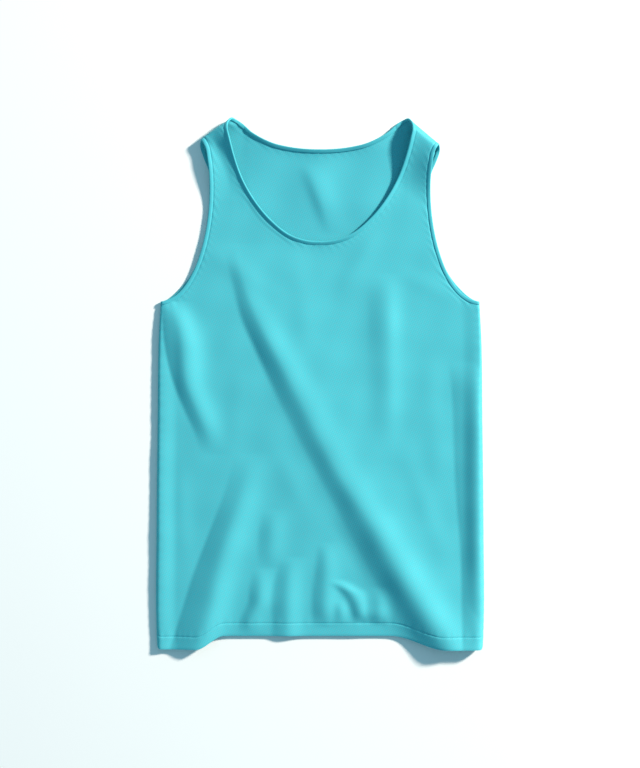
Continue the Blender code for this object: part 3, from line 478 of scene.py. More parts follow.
def outward(panel, flat_x, flat_y):
    """Unit normals of the outer face: the cross product of two small steps on the cut cloth."""
    side = np.where(flat_x < 0, -1.0, 1.0)
    step = NORMAL_STEP * side
    across = lay(panel, flat_x + step, flat_y) - lay(panel, flat_x - step, flat_y)
    along = lay(panel, flat_x, flat_y + NORMAL_STEP) - lay(panel, flat_x, flat_y - NORMAL_STEP)
    normal = np.cross(across, along) * side[..., None]
    if panel == "back":
        normal = -normal
    return normal / np.linalg.norm(normal, axis=-1, keepdims=True)


print("the end of the front's hem lies at", lay("front", half_width(HEM_Y), HEM_Y).round(4))

# %% [markdown]
# ## Finished edges
# The neckline and the armholes pass over the shoulder fold, so their curves are drawn on one sheet that
# runs on from front to back: the first number is the way along the fold, the second the way across it,
# negative in front. The bindings, the panels' edges and the stitches are all this line, moved in.

# %% Edge lines on the sheet
NECK_OVER_FOLD = (  # along, across
    (0.0152, -0.0150), (0.0087, -0.0073), (0.0010, 0.0), (-0.0036, 0.0114), (-0.0067, 0.0235),
)
ARMHOLE_ON_FOLD, STRAP_MIDDLE = (0.0560, 0.0), (0.0300, 0.0)
ARMHOLE_LEVELS = (CHEST_Y, 0.285, 0.300, 0.315)
ARMHOLE_FLARE, ARMHOLE_FLARE_RUN = 0.0091, 0.0560
BACK_STRAP_REACH, BACK_STRAP_START, BACK_STRAP_RUN = 0.0073, 0.278, 0.035   # the back strap is wider
BACK_UNDERARM_REACH, BACK_UNDERARM_SHARE = 0.0035, 0.55     # and the back armhole a little higher
QUARTER_POINTS, NECK_POINTS, OVER_POINTS = 900, 3200, 1600


def to_sheet(panel, points):
    offset = np.array(points) - flat_neck_point
    across = offset @ fold_out
    return np.stack([offset @ fold_along, across if panel == "front" else -across], axis=1)


def from_sheet(points):
    return (flat_neck_point + points[:, :1] * fold_along - np.abs(points[:, 1:]) * fold_out)


def armhole_quarter(panel):
    """Lower armhole: a quarter of an ellipse from the side seam in to the narrowest part."""
    angle = QUARTER * np.linspace(0.0, 1.0, QUARTER_POINTS)
    seam = float(flat_half_width(panel, 1.0, np.array(UNDERARM_Y)))
    x = seam - (seam - CHEST_HALF) * np.sin(angle)
    y = CHEST_Y - (CHEST_Y - UNDERARM_Y) * np.cos(angle)
    if panel == "back":
        share = np.clip(angle / (BACK_UNDERARM_SHARE * QUARTER), 0.0, 1.0)
        y = y + BACK_UNDERARM_REACH * np.sin(math.pi * share) ** 2
    return to_sheet(panel, np.stack([x, y], axis=1))


def neck_line():
    """Neckline from the middle of the front, over the fold, to the middle of the back. One knot past
    each middle keeps the line level there."""
    front = np.vstack([(-FRONT_NECK[1][0], FRONT_NECK[1][1]), FRONT_NECK])
    back = np.vstack([BACK_NECK[-2::-1], (-BACK_NECK[1][0], BACK_NECK[1][1])])
    knots = np.vstack([to_sheet("front", front), NECK_OVER_FOLD, to_sheet("back", back)])
    line = spline(knots, NECK_POINTS)
    start, end = (np.argmin(np.linalg.norm(line - knots[place], axis=1)) for place in (1, -2))
    return np.vstack([knots[1], line[start + 1:end], knots[-2]])


def armhole_line():
    """Armhole from the front's side seam, over the fold, to the back's."""
    levels = np.array(ARMHOLE_LEVELS)
    x = CHEST_HALF + ARMHOLE_FLARE * ((levels - CHEST_Y) / ARMHOLE_FLARE_RUN) ** 2
    reach = BACK_STRAP_REACH * ease((levels - BACK_STRAP_START) / BACK_STRAP_RUN)
    front = to_sheet("front", np.stack([x, levels], axis=1))
    back = to_sheet("back", np.stack([x + reach, levels], axis=1))
    over = spline(np.vstack([front, [ARMHOLE_ON_FOLD], back[::-1]]), OVER_POINTS)
    return np.vstack([armhole_quarter("front")[:-1], over, armhole_quarter("back")[-2::-1]])


def moved_in(line, distance):
    """The line moved sideways by distance, along its normals, towards the strap's cloth."""
    tangent = np.gradient(line, axis=0)
    tangent = tangent / np.linalg.norm(tangent, axis=1, keepdims=True)
    normal = np.stack([-tangent[:, 1], tangent[:, 0]], axis=1)
    middle = np.argmin(np.abs(line[:, 1]))
    if np.dot(normal[middle], np.array(STRAP_MIDDLE) - line[middle]) < 0:
        normal = -normal
    return line + distance * normal


LINES = {"neck": neck_line(), "armhole": armhole_line()}
for opening, line in LINES.items():
    print(opening, "edge", round(lengths_along(line)[-1] * 1000), "mm on one side")


# %% Places along an edge
def edge_on_panel(opening, panel, distance, plain, turned, bunch=1.0):
    """Flat points of one panel's share of an edge, from its far end to the shoulder seam: plain steps
    up to the shoulder roll, turned steps through it."""
    edge = moved_in(LINES[opening], distance)
    across = edge[:, 1] if panel == "front" else -edge[::-1, 1]
    edge = edge if panel == "front" else edge[::-1]
    seam = int(np.argmax(across > 0.0))
    share = across[seam - 1] / (across[seam - 1] - across[seam])
    last = edge[seam - 1] + share * (edge[seam] - edge[seam - 1])
    edge, across = np.vstack([edge[:seam], last]), np.append(across[:seam], 0.0)
    run = lengths_along(edge)
    roll_start = np.interp(-SHOULDER_ARC, across[seam // 2:], run[seam // 2:])
    lengths = np.concatenate([roll_start * (np.arange(plain + 1) / plain) ** bunch,
                              np.linspace(roll_start, run[-1], turned + 1)[1:]])
    sheet = np.stack([np.interp(lengths, run, edge[:, axis]) for axis in (0, 1)], axis=1)
    return from_sheet(sheet)


print("front neck edge meets the shoulder seam at", edge_on_panel("neck", "front", 0.0, 8, 2)[-1].round(4))

# %% [markdown]
# ## Panels as grids
# Each half of a panel is a grid of rows and columns on the flat cut. Its rows run from the centre line,
# and higher up from the neckline, out to the side seam or the armhole, and its columns crowd towards the
# outer edge, where the cloth turns. The two halves share the centre line below the neck. Whole arrays
# are laid down at once, and a second copy one thickness inside makes the wall.

# %% Hem
HEM_LIFT, BACK_HEM_SHORT = 0.0180, 0.0015
HEM_TURNS = ((-0.1680, 0.0380), (0.0950, 0.0750))     # x where the hem turns up and down, and the run
HEM_CORNER = 0.0085         # radius of the hem's rounded corners


def hem_line(panel, x):
    """Level of the hem: low at both corners, drawn up in the middle."""
    (left_x, left_run), (right_x, right_run) = HEM_TURNS
    raised = ease((x - left_x) / left_run) - ease((x - right_x) / right_run)
    from_corner = np.clip((flat_half_width(panel, np.sign(x), HEM_Y) - np.abs(x)) / HEM_CORNER, 0.0, 1.0)
    rounded = HEM_CORNER * (1 - np.sqrt(1 - (1 - from_corner) ** 2))
    return HEM_Y + HEM_LIFT * raised + rounded + (BACK_HEM_SHORT if panel == "back" else 0.0)


print("the front's hem lies at", hem_line("front", np.array([-0.2, 0.0, 0.2])).round(4), "m, left to right")

# %% Half a panel
HEM_ROWS = np.array([0.0, 0.0006, 0.0016, 0.0040, 0.0070, 0.0100, 0.0130, 0.0150, 0.0160, 0.0166, 0.0172,
                     0.0178, 0.0184, 0.0194, 0.0210])
PANEL_INSET = 0.0022        # the panel's raw edge lies inside its binding
COLUMN_BUNCH, ARMHOLE_BUNCH = 1.3, 1.12     # above 1, points crowd towards the outer edge, the underarm


def half_grid(panel, side, trunk, chest, neck_rows, turned, columns):
    """Flat points of half a panel: inner point plus a share of the way to the outer one, row by row."""
    top = UNDERARM_Y - PANEL_INSET
    neck = edge_on_panel("neck", panel, PANEL_INSET, neck_rows, turned)
    neck[0, 0] = 0.0
    arm = edge_on_panel("armhole", panel, PANEL_INSET, chest + neck_rows, turned, ARMHOLE_BUNCH)
    centre = np.linspace(top, neck[0, 1], chest + 1)[1:]
    inner = np.vstack([np.stack([0 * centre, centre], axis=1), neck[1:]])
    share = 1 - (1 - np.linspace(0, 1, columns + 1)) ** COLUMN_BUNCH
    upper = inner[:, None] + share[None, :, None] * (arm[1:] - inner)[:, None]
    climb = np.linspace(0.0, 1.0, trunk + 1)
    level = HEM_Y + HEM_ROWS[-1] + climb * (top - HEM_Y - HEM_ROWS[-1])
    seam = flat_half_width(panel, side, level)
    x = seam[:, None] * share[None]
    base = hem_line(panel, side * x) + HEM_ROWS[-1]
    y = base + climb[:, None] * (top - base)
    low_x = flat_half_width(panel, side, HEM_Y + HEM_ROWS[:-1])[:, None] * share[None]
    low_y = hem_line(panel, side * low_x) + HEM_ROWS[:-1, None]
    grid = np.concatenate([np.stack([low_x, low_y], axis=2), np.stack([x, y], axis=2), upper])
    grid[..., 0] *= side
    return grid, len(HEM_ROWS) - 1 + trunk + chest


print(len(HEM_ROWS), "rows of points in the hem alone")


# %% Both halves joined
def joined_halves(panel, *counts):
    """Both half grids as one list of flat points and quads that face up, sharing the centre line."""
    right, shared = half_grid(panel, 1.0, *counts)
    left, shared = half_grid(panel, -1.0, *counts)
    rows, columns = right.shape[:2]
    number = np.arange(2 * rows * columns).reshape(2, rows, columns)
    number[1, :shared + 1, 0] = number[0, :shared + 1, 0]
    quads = []
    for half, order in ((0, (0, 1, 2, 3)), (1, (3, 2, 1, 0))):
        n = number[half]
        corners = np.stack([n[:-1, :-1], n[:-1, 1:], n[1:, 1:], n[1:, :-1]], axis=-1).reshape(-1, 4)
        quads.append(corners[:, order])
    quads = np.vstack(quads)
    used, packed = np.unique(quads, return_inverse=True)
    flat = np.concatenate([right.reshape(-1, 2), left.reshape(-1, 2)])[used]
    return flat, packed.reshape(quads.shape)


print("a coarse front would have", len(joined_halves("front", 6, 4, 6, 2, 5)[1]), "quads")


# %% Relief beside the seams
def distance_to(points, line, slices=60):
    """Shortest distance of each flat point to a line of flat points, in slices to save memory."""
    nearest = []
    for part in np.array_split(points, slices):
        gap = part[:, None] - line[None]
        nearest.append(np.sqrt(np.min(np.sum(gap * gap, axis=2), axis=1)))
    return np.concatenate(nearest)


HEM_STEP, HEM_STEP_RUN = 0.0166, 0.0022         # where the turned-up cloth ends
HEM_RIDGE = 0.00008                             # it stands this much proud
HEM_ROUND, HEM_ROUND_RUN = 0.00040, 0.0016      # the hem's fold is round
STITCH_LINE = 0.0172                            # the hem is sewn down at this depth
STITCH_GROOVE, STITCH_REACH = 0.00050, 0.0009   # and the thread draws the cloth in there
SEAM_GROOVE = {"neck": 0.00034, "armhole": 0.00045}     # the cloth is drawn in beside a binding
GROOVE_BESIDE, GROOVE_REACH = 0.0005, 0.0010
EDGE_STEPS = (220, 24)                          # plain and turned steps of the lines measured from
SEAM_PUCKERS = {  # height, from_seam, reach, quick_turn, slow_turn, sway
    "hem": (0.00016, 0.0185, 0.0060, 640, 171, 1.7),
    "binding": (0.00018, 0.0025, 0.0050, 520, 93, 2.0),
    "side": (0.00016, 0.0040, 0.0060, 430, 77, 2.0),
}


def seam_puckers(seam, gap, along, slow):
    """Small uneven waves beside a seam: a sine along it, swayed by a slower one, in a bell across it."""
    height, from_seam, reach, quick_turn, slow_turn, sway = SEAM_PUCKERS[seam]
    wave = np.sin(along * quick_turn + np.sin(slow * slow_turn) * sway)
    return height * wave * bell(gap - from_seam, reach)


def seam_relief(panel, flat):
    """How far the outer face stands out or in next to hem and bindings, with the seam's small puckers."""
    x, y = flat[:, 0], flat[:, 1]
    mirrored = np.stack([np.abs(x), y], axis=1)
    depth = y - hem_line(panel, x)
    z = HEM_RIDGE * (1 - ease((depth - HEM_STEP) / HEM_STEP_RUN))
    z = z - STITCH_GROOVE * bell(depth - STITCH_LINE, STITCH_REACH) + seam_puckers("hem", depth, x, x)
    z = z - HEM_ROUND * (1 - ease(depth / HEM_ROUND_RUN))
    for opening in LINES:
        gap = distance_to(mirrored, edge_on_panel(opening, panel, 0.0, *EDGE_STEPS)) - BINDING_WIDTH
        z = z - SEAM_GROOVE[opening] * bell(gap - GROOVE_BESIDE, GROOVE_REACH)
        z = z + seam_puckers("binding", gap, x + y, y)
    from_side = flat_half_width(panel, np.sign(x), y) - np.abs(x)
    return z + np.where(y < UNDERARM_Y, seam_puckers("side", from_side, y, y), 0.0)


print(len(SEAM_PUCKERS), "kinds of seam draw the cloth into small puckers")

# %% [markdown]
# ## Meshes
# A shell needs an outer face, an inner face and the rim between them. The rim follows from the quads:
# an edge that only one quad uses lies on the border. The flat cut goes into the UV map, in metres, so
# the knit is drawn at its real size.

# %% Mesh from arrays
SMOOTH_ANGLE = math.radians(60)     # edges sharper than this stay sharp


def border(quads):
    """Directed edges that have no opposite: the outline of the quads."""
    edges = np.stack([quads, np.roll(quads, -1, axis=1)], axis=-1).reshape(-1, 2)
    size = int(quads.max()) + 1
    code = edges[:, 0].astype(np.int64) * size + edges[:, 1]
    opposite = edges[:, 1].astype(np.int64) * size + edges[:, 0]
    return edges[~np.isin(code, opposite)]


def add_mesh(name, vertices, quads, uv, material):
    """A smooth object from arrays of places, quads and flat points, in its own place in the world."""
    mesh = bpy.data.meshes.new(name)
    mesh.vertices.add(len(vertices))
    mesh.vertices.foreach_set("co", np.ascontiguousarray(vertices, dtype=np.float32).ravel())
    mesh.loops.add(quads.size)
    mesh.loops.foreach_set("vertex_index", quads.astype(np.int32).ravel())
    mesh.polygons.add(len(quads))
    mesh.polygons.foreach_set("loop_start", np.arange(0, quads.size, quads.shape[1], dtype=np.int32))
    mesh.update(calc_edges=True)
    mesh.validate()
    layer = mesh.uv_layers.new(name="cut")
    layer.data.foreach_set("uv", np.ascontiguousarray(uv[quads.ravel()], dtype=np.float32).ravel())
    mesh.shade_smooth()
    mesh.set_sharp_from_angle(angle=SMOOTH_ANGLE)
    mesh.materials.append(material)
    piece = bpy.data.objects.new(name, mesh)
    bpy.context.collection.objects.link(piece)
    return piece


print("a single quad has", len(border(np.arange(4)[None])), "border edges")


# %% Shell of cloth
def cloth_panel(name, panel, counts, material):
    """A closed shell of cloth: laid outer face with its relief, inner face inside it, and the rim."""
    flat, quads = joined_halves(panel, *counts)
    normal = outward(panel, flat[:, 0], flat[:, 1])
    relief = seam_relief(panel, flat)
    outer = lay(panel, flat[:, 0], flat[:, 1])
    depth = flat[:, 1] - hem_line(panel, flat[:, 0])
    thick = HEM_CLOTH + (CLOTH - HEM_CLOTH) * ease((depth - HEM_STEP) / HEM_STEP_RUN)
    inner = outer - normal * thick[:, None]
    if panel == "front":
        outer = outer + normal * relief[:, None]
    else:
        inner = inner - normal * relief[:, None]
        quads = quads[:, ::-1]
    rim = border(quads)
    count = len(flat)
    walls = np.stack([rim[:, 1], rim[:, 0], rim[:, 0] + count, rim[:, 1] + count], axis=1)
    faces = np.vstack([quads, quads[:, ::-1] + count, walls])
    piece = add_mesh(name, np.vstack([outer, inner]), faces, np.vstack([flat, flat]), material)
    corners = flat[quads]
    size = np.ptp(flat, axis=0)
    areas = 0.5 * np.abs(np.sum(corners[:, :, 0] * np.roll(corners[:, :, 1], -1, axis=1)
                                - corners[:, :, 1] * np.roll(corners[:, :, 0], -1, axis=1), axis=1))
    area = float(areas.sum())
    print(name, len(faces) * 2, "triangles, cut", np.round(size, 3), "m, area", round(area, 4), "m2")
    return piece, size, area


# %% [markdown]
# ## The knit
# Running cloth is a fine knit: at arm's length it shows as small slanting grains in rows, and close up
# each grain is a little bump. A scan of real cloth would do, but waves and noise stay sharp at any
# distance. The group below works both out from the flat cut, in metres, and gives a colour, and a height
# for a Bump node in the material.

# %% Node helpers
def node(tree, kind, inputs=(), **settings):
    """A node with its settings, whose inputs are linked where a socket is given and set otherwise."""
    made = tree.nodes.new(kind)
    for key, value in settings.items():
        setattr(made, key, value)
    for slot, value in dict(inputs).items():
        if isinstance(value, bpy.types.NodeSocket):
            tree.links.new(value, made.inputs[slot])
        else:
            made.inputs[slot].default_value = value
    return made


def maths(tree, operation, a, b=0.0, c=0.0):
    return node(tree, "ShaderNodeMath", {0: a, 1: b, 2: c}, operation=operation).outputs[0]


def new_group(name, inputs, outputs):
    group = bpy.data.node_groups.new(name, "ShaderNodeTree")
    for label, kind, value in inputs:
        made = group.interface.new_socket(label, in_out="INPUT", socket_type=kind)
        if value is not None:
            made.default_value = value
    for label, kind in outputs:
        group.interface.new_socket(label, in_out="OUTPUT", socket_type=kind)
    return group, group.nodes.new("NodeGroupInput"), group.nodes.new("NodeGroupOutput")


# %% Knit group
COUNTER_TURN = 0.35         # the crossing wave's turns to one of the first's, so the grains are long
GRAIN_SHADE = (0.14, 0.934)             # a grain's share of the brightness, and the rest
MOTTLES = ((420.0, 2.0, 0.22), (14.0, 3.0, 0.10))   # scale, detail and share of each noise
MOTTLE_SATURATION = (0.25, 0.868)       # the quick noise's share of the saturation, and the rest
MOTTLE_HEIGHT = 0.5


def make_knit_group():
    """Grains: two slanting sine waves multiplied, so that short raised dashes stand in staggered rows.
    Mottle: quick and slow noise that vary the colour a little."""
    group, given, result = new_group(
        "knit", (("Cut", "NodeSocketVector", None), ("Colour", "NodeSocketColor", (0.05, 0.5, 0.6, 1)),
                 ("Pitch", "NodeSocketFloat", 0.0040)),
        (("Colour", "NodeSocketColor"), ("Height", "NodeSocketFloat")))
    cut = node(group, "ShaderNodeSeparateXYZ", {0: given.outputs["Cut"]}).outputs
    turn = maths(group, "DIVIDE", 2 * math.pi, given.outputs["Pitch"])
    u, v = maths(group, "MULTIPLY", cut[0], turn), maths(group, "MULTIPLY", cut[1], turn)
    slant = maths(group, "SINE", maths(group, "SUBTRACT", u, v))
    counter = maths(group, "SINE", maths(group, "MULTIPLY", maths(group, "ADD", u, v), COUNTER_TURN))
    grain = maths(group, "MULTIPLY_ADD", maths(group, "MULTIPLY", slant, counter), 0.5, 0.5)
    value = maths(group, "MULTIPLY_ADD", grain, *GRAIN_SHADE)
    noises = []
    for scale, detail, share in MOTTLES:
        noises.append(node(group, "ShaderNodeTexNoise", {
            "Vector": given.outputs["Cut"], "Scale": scale, "Detail": detail}).outputs["Fac"])
        value = maths(group, "MULTIPLY_ADD", maths(group, "SUBTRACT", noises[-1], 0.5), share, value)
    saturation = maths(group, "MULTIPLY_ADD", noises[0], *MOTTLE_SATURATION)
    tint = node(group, "ShaderNodeHueSaturation", {
        "Color": given.outputs["Colour"], "Saturation": saturation, "Value": value}).outputs["Color"]
    height = maths(group, "MULTIPLY_ADD", noises[0], MOTTLE_HEIGHT, grain)
    group.links.new(tint, result.inputs["Colour"])
    group.links.new(height, result.inputs["Height"])
    return group


knit_group = make_knit_group()
print("knit group has", len(knit_group.nodes), "nodes")


# %% [markdown]
# ## The cloth's finish
# Polyester knit is matt with a faint sheen in its own colour. One Principled shader for each cloth takes
# its colour and bump from the group; the rest is the same all over, so it is set on the shader itself.

# %% Cloth materials
KNIT_COLOUR = (0.082, 0.475, 0.510)
INSIDE_COLOUR = (0.078, 0.460, 0.500)
# the bindings' knit is set a little darker than the panels': painted shade that darkens the bound edges
STRIP_SHADED_COLOUR = (0.072, 0.445, 0.485)
PANEL_FINISH = (0.0040, 0.00008, 0.62, 0.16)    # pitch, bump, roughness, sheen
STRIP_FINISH = (0.0024, 0.00004, 0.62, 0.16)
SPECULAR_LEVEL, SPECULAR_TINT = 0.5, (0.30, 0.90, 1.0, 1.0)
SHEEN_ROUGHNESS, SHEEN_TINT = 0.45, (0.15, 0.85, 1.0, 1.0)


def cloth_material(name, colour, pitch, bump, roughness, sheen):
    material = bpy.data.materials.new(name)
    material.use_nodes = True
    tree = material.node_tree
    shader = tree.nodes["Principled BSDF"]
    cut = node(tree, "ShaderNodeUVMap", uv_map="cut").outputs["UV"]
    knit = node(tree, "ShaderNodeGroup", node_tree=knit_group)
    tree.links.new(cut, knit.inputs["Cut"])
    knit.inputs["Colour"].default_value = (*colour, 1.0)
    knit.inputs["Pitch"].default_value = pitch
    relief = node(tree, "ShaderNodeBump", {"Height": knit.outputs["Height"], "Distance": bump,
                                           "Strength": 1.0})
    tree.links.new(knit.outputs["Colour"], shader.inputs["Base Color"])
    tree.links.new(relief.outputs["Normal"], shader.inputs["Normal"])
    for socket, setting in (("Roughness", roughness), ("Specular IOR Level", SPECULAR_LEVEL),
                            ("Specular Tint", SPECULAR_TINT), ("Sheen Weight", sheen),
                            ("Sheen Roughness", SHEEN_ROUGHNESS), ("Sheen Tint", SHEEN_TINT)):
        shader.inputs[socket].default_value = setting
    return material


front_knit = cloth_material("front_knit", KNIT_COLOUR, *PANEL_FINISH)
back_knit = cloth_material("back_knit", INSIDE_COLOUR, *PANEL_FINISH)
strip_knit = cloth_material("strip_knit", STRIP_SHADED_COLOUR, *STRIP_FINISH)
print("knit pitch", PANEL_FINISH[0], "m on the panels and", STRIP_FINISH[0], "m on the bindings")

# %% [markdown]
# ## Front and back panels
# Both are laid with the same functions. The front carries the folds; the back lies flat on the floor,
# and only its inner face shows, through the neck.

# %% Panels
FRONT_COUNTS = (150, 22, 62, 10, 80)    # rows: trunk, chest, neck, shoulder roll; then columns
BACK_COUNTS = (70, 52, 30, 10, 56)
front, front_size, front_area = cloth_panel("front_shell", "front", FRONT_COUNTS, front_knit)
back, back_size, back_area = cloth_panel("back_shell", "back", BACK_COUNTS, back_knit)
for piece, solid in ((front, "front_panel"), (back, "back_panel")):
    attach(piece, "root")
    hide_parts(solid)

# %% [markdown]
# ## Bindings
# A binding is a strip folded over the raw edge and sewn down, so it stands a little proud and its
# section is a flat oval. Each point of the section is worked out on the cloth itself, a share of the
# width in from the edge and a little outside or inside it, so the strip follows folds and seams.

# %% Lengthwise lines of a strip
FLOOR_CLEARANCE = 0.0001
FRONT_DEPTH, BACK_DEPTH = CLOTH / 2, BINDING_THICK / 2 + FLOOR_CLEARANCE    # of the strip's middle
UNDERARM_CROWDING = 0.012       # sections stand closer together at both underarms


def above_cloth(panel, flat, nearness, height):
    """Points at a height over the middle of the strip, whose depth blends from front to back. The
    nearness to the seam is 0 on it and 1 where the cloth's roll ends."""
    middle = (FRONT_DEPTH + BACK_DEPTH) / 2
    far = FRONT_DEPTH if panel == "front" else BACK_DEPTH
    depth = middle + (far - middle) * ease(nearness) - height
    return lay(panel, flat[:, 0], flat[:, 1]) - outward(panel, flat[:, 0], flat[:, 1]) * depth[:, None]


def strip_side(opening, side, inwards, height, steps):
    """One lengthwise line of a strip: over the front, then over the back towards its far end."""
    edge = moved_in(LINES[opening], inwards)
    run = lengths_along(LINES[opening])
    share = np.linspace(0.0, 1.0, steps)
    if opening == "armhole":
        share = share - UNDERARM_CROWDING * np.sin(2 * math.pi * share)
    places = np.interp(share * run[-1], run, np.arange(len(run)))
    sheet = np.stack([np.interp(places, np.arange(len(run)), edge[:, axis]) for axis in (0, 1)], axis=1)
    flat = from_sheet(sheet)
    if opening == "neck":
        flat[[0, -1], 0] = 0.0
    flat[:, 0] *= side
    lines = []
    for panel in ("front", "back"):
        seam = flat_half_width(panel, side, flat[:, 1]) - np.abs(flat[:, 0])
        arc = QUARTER * roll_radius(panel, side, flat[:, 1])
        at_side = (flat[:, 1] < CHEST_Y) & (opening == "armhole")
        nearness = np.where(at_side, np.maximum(seam, 0.0) / arc, np.abs(sheet[:, 1]) / SHOULDER_ARC)
        lines.append(above_cloth(panel, flat, nearness, height))
    return np.where(sheet[:, 1:] < 0, lines[0], lines[1])


print("one side of the neck strip starts at", strip_side("neck", 1.0, 0.0, 0.0, 9)[0].round(4))

# %% Closed strips
SECTION_POINTS = 16
WIDTH_POWER, HEIGHT_POWER = 0.55, 0.6           # below 1 the oval has a flat top and full edges
FULLNESS = {"neck": 0.55, "armhole": 0.15}      # how much the folded edge of a strip swells
FULL_AT, FULL_REACH = 0.25, 0.28                # where across the strip, and how far


def strip_mesh(name, opening, side, steps, material):
    """Closed tube round an opening. Its section is a flat oval: powers of cosine and sine."""
    turn = np.linspace(0.0, 2 * math.pi, SECTION_POINTS, endpoint=False)
    inwards = BINDING_WIDTH * (0.5 - 0.5 * np.sign(np.cos(turn)) * np.abs(np.cos(turn)) ** WIDTH_POWER)
    heights = BINDING_THICK / 2 * np.sign(np.sin(turn)) * np.abs(np.sin(turn)) ** HEIGHT_POWER
    fullness = 1 + FULLNESS[opening] * bell(inwards / BINDING_WIDTH - FULL_AT, FULL_REACH)
    heights = np.where(heights > 0, heights * fullness, heights)
    lines = []
    for inward, height in zip(inwards, heights):
        line = strip_side(opening, side, inward, height, steps)
        if opening == "neck":
            other = strip_side(opening, -side, inward, height, steps)
            line = np.vstack([line, other[-2:0:-1]])
        lines.append(line)
    points = np.stack(lines, axis=1)
    rows = len(points)
    run = lengths_along(np.vstack([points[:, 0], points[:1, 0]]))
    uv = np.stack([np.repeat(run[:-1, None], SECTION_POINTS, axis=1),
                   np.repeat(inwards[None], rows, axis=0)], axis=2)
    number = np.arange(rows * SECTION_POINTS).reshape(rows, SECTION_POINTS)
    after, beside = np.roll(number, -1, axis=0), np.roll(number, -1, axis=1)
    quads = np.stack([number, beside, np.roll(beside, -1, axis=0), after], axis=-1).reshape(-1, 4)
    corners = points.reshape(-1, 3)[quads]
    volume = np.sum(corners[:, 0] * np.cross(corners[:, 1], corners[:, 2]))
    if volume < 0:
        quads = quads[:, ::-1]
    print(name, rows, "sections,", round(float(run[-1]), 3), "m long")
    return add_mesh(name, points.reshape(-1, 3), quads, uv.reshape(-1, 2), material)


# %% Bindings in place
NECK_SECTIONS, ARMHOLE_SECTIONS = 330, 380      # on half the neck, and on a whole armhole
neck_strip = strip_mesh("neck_strip", "neck", 1.0, NECK_SECTIONS, strip_knit)
arm_strips = [strip_mesh(name, "armhole", side, ARMHOLE_SECTIONS, strip_knit)
              for name, side in (("armhole_strip_right", -1.0), ("armhole_strip_left", 1.0))]
for piece, solid in zip([neck_strip, *arm_strips],
                        ("neck_binding", "armhole_binding_right", "armhole_binding_left")):
    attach(piece, "root")
    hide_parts(solid)

# %% [markdown]
# ## Stitches
# A stitch is a short thread that rises from one hole and sinks into the next. Each one here is a small
# tube along its own arc: the middle stands proud, both ends dip into the cloth. All the stitches of a
# seam are worked out at once and joined in one mesh.

# %% Stitch maker
STITCH_PITCH = 0.0030
STITCH_LENGTH = 0.0023
STITCH_ARCH, STITCH_SINK = 0.00016, 0.00010     # rise of its middle over its ends, and how deep they lie
THREAD_RADIUS, THREAD_FLAT, THREAD_TAPER = 0.00022, 0.8, 0.8
THREAD_SIDES, THREAD_STEPS = 6, 6


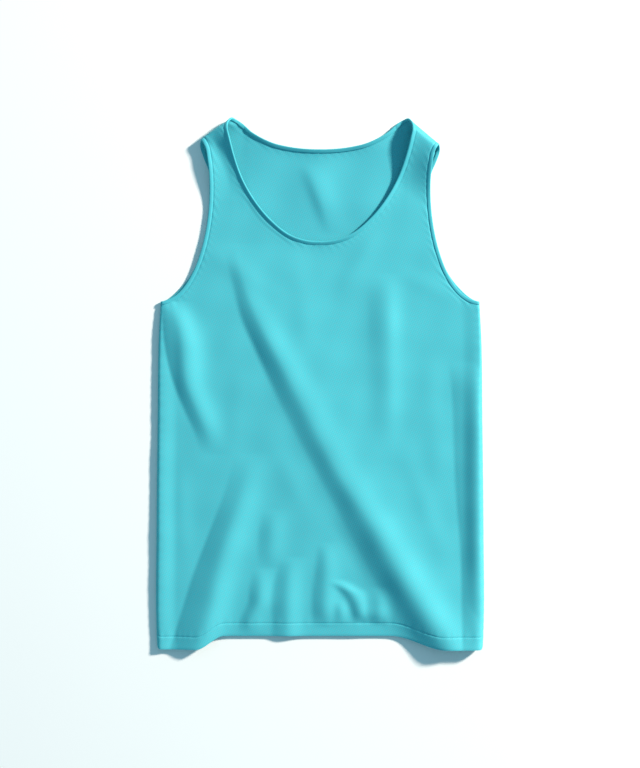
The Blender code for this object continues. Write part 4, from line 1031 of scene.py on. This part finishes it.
def stitch_mesh(name, path, normals, material):
    """Stitches at an even pitch on a path. With t from -1 to 1 along a stitch, its middle line is
    centre + t * half a length * tangent + (arch * (1 - tt) - sink) * normal, and its radius
    THREAD_RADIUS * sqrt(1 - taper * tttt)."""
    run = lengths_along(path)
    count = int(run[-1] / STITCH_PITCH)
    centres = (np.arange(count) + 0.5) * run[-1] / count
    t = np.linspace(-1.0, 1.0, THREAD_STEPS)
    places = centres[:, None] + t[None] * STITCH_LENGTH / 2
    middle, up = (np.stack([np.interp(places, run, values[:, axis]) for axis in range(3)], axis=-1)
                  for values in (path, normals))
    along = np.gradient(middle, axis=1)
    along = along / np.linalg.norm(along, axis=2, keepdims=True)
    across = np.cross(along, up)
    across = across / np.linalg.norm(across, axis=2, keepdims=True)
    middle = middle + up * (STITCH_ARCH * (1 - t ** 2) - STITCH_SINK)[None, :, None]
    turn = np.linspace(0.0, 2 * math.pi, THREAD_SIDES, endpoint=False)
    radius = THREAD_RADIUS * np.sqrt(1 - THREAD_TAPER * t ** 4)
    ring = (across[:, :, None] * np.cos(turn)[None, None, :, None]
            + up[:, :, None] * np.sin(turn)[None, None, :, None] * THREAD_FLAT)
    points = middle[:, :, None] + ring * radius[None, :, None, None]
    number = np.arange(points.size // 3).reshape(points.shape[:3])
    beside = np.roll(number, -1, axis=2)
    quads = np.stack([number[:, :-1], number[:, 1:], beside[:, 1:], beside[:, :-1]], axis=-1).reshape(-1, 4)
    uv = np.stack([np.broadcast_to(places[:, :, None], number.shape),
                   np.broadcast_to(turn * THREAD_RADIUS, number.shape)], axis=-1)
    print(name, count, "stitches,", len(quads) * 2, "triangles")
    return add_mesh(name, points.reshape(-1, 3), quads, uv.reshape(-1, 2), material)


THREAD_COLOUR, THREAD_FINISH = (0.030, 0.350, 0.430), (0.0006, 0.00002, 0.55, 0.0)
thread = cloth_material("thread", THREAD_COLOUR, *THREAD_FINISH)
print("thread", THREAD_RADIUS * 2000, "mm thick")

# %% Stitches of the hem
HEM_STITCH_INSET, HEM_PATH_POINTS = 0.002, 1400
hem_stitches = []
for panel in ("front", "back"):
    reach = float(flat_half_width(panel, 1.0, np.array(HEM_Y))) - HEM_STITCH_INSET
    x = np.linspace(-reach, reach, HEM_PATH_POINTS)
    y = hem_line(panel, x) + STITCH_LINE
    normals = outward(panel, x, y)
    path = lay(panel, x, y) - normals * STITCH_GROOVE
    hem_stitches.append(stitch_mesh(panel + "_hem_stitches", path, normals, thread))

# %% Stitches of the bindings
STITCH_ACROSS = 0.80 * BINDING_WIDTH            # the row lies near the strip's inner edge
STITCH_LEVELS = (0.00062, 0.00162)              # two heights over the strip's middle give the normal
STITCH_ROWS = (  # name, opening, side, steps
    ("neck_stitches", "neck", 1.0, 900), ("armhole_stitches_right", "armhole", -1.0, 1100),
    ("armhole_stitches_left", "armhole", 1.0, 1100),
)
binding_stitches = []
for name, opening, side, steps in STITCH_ROWS:
    paths = []
    for height in STITCH_LEVELS:
        line = strip_side(opening, side, STITCH_ACROSS, height, steps)
        if opening == "neck":
            line = np.vstack([line, strip_side(opening, -side, STITCH_ACROSS, height, steps)[-2::-1]])
        paths.append(line)
    normals = (paths[1] - paths[0]) / np.linalg.norm(paths[1] - paths[0], axis=1, keepdims=True)
    binding_stitches.append(stitch_mesh(name, paths[0], normals, thread))
for piece in (*hem_stitches, *binding_stitches):
    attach(piece, "root")
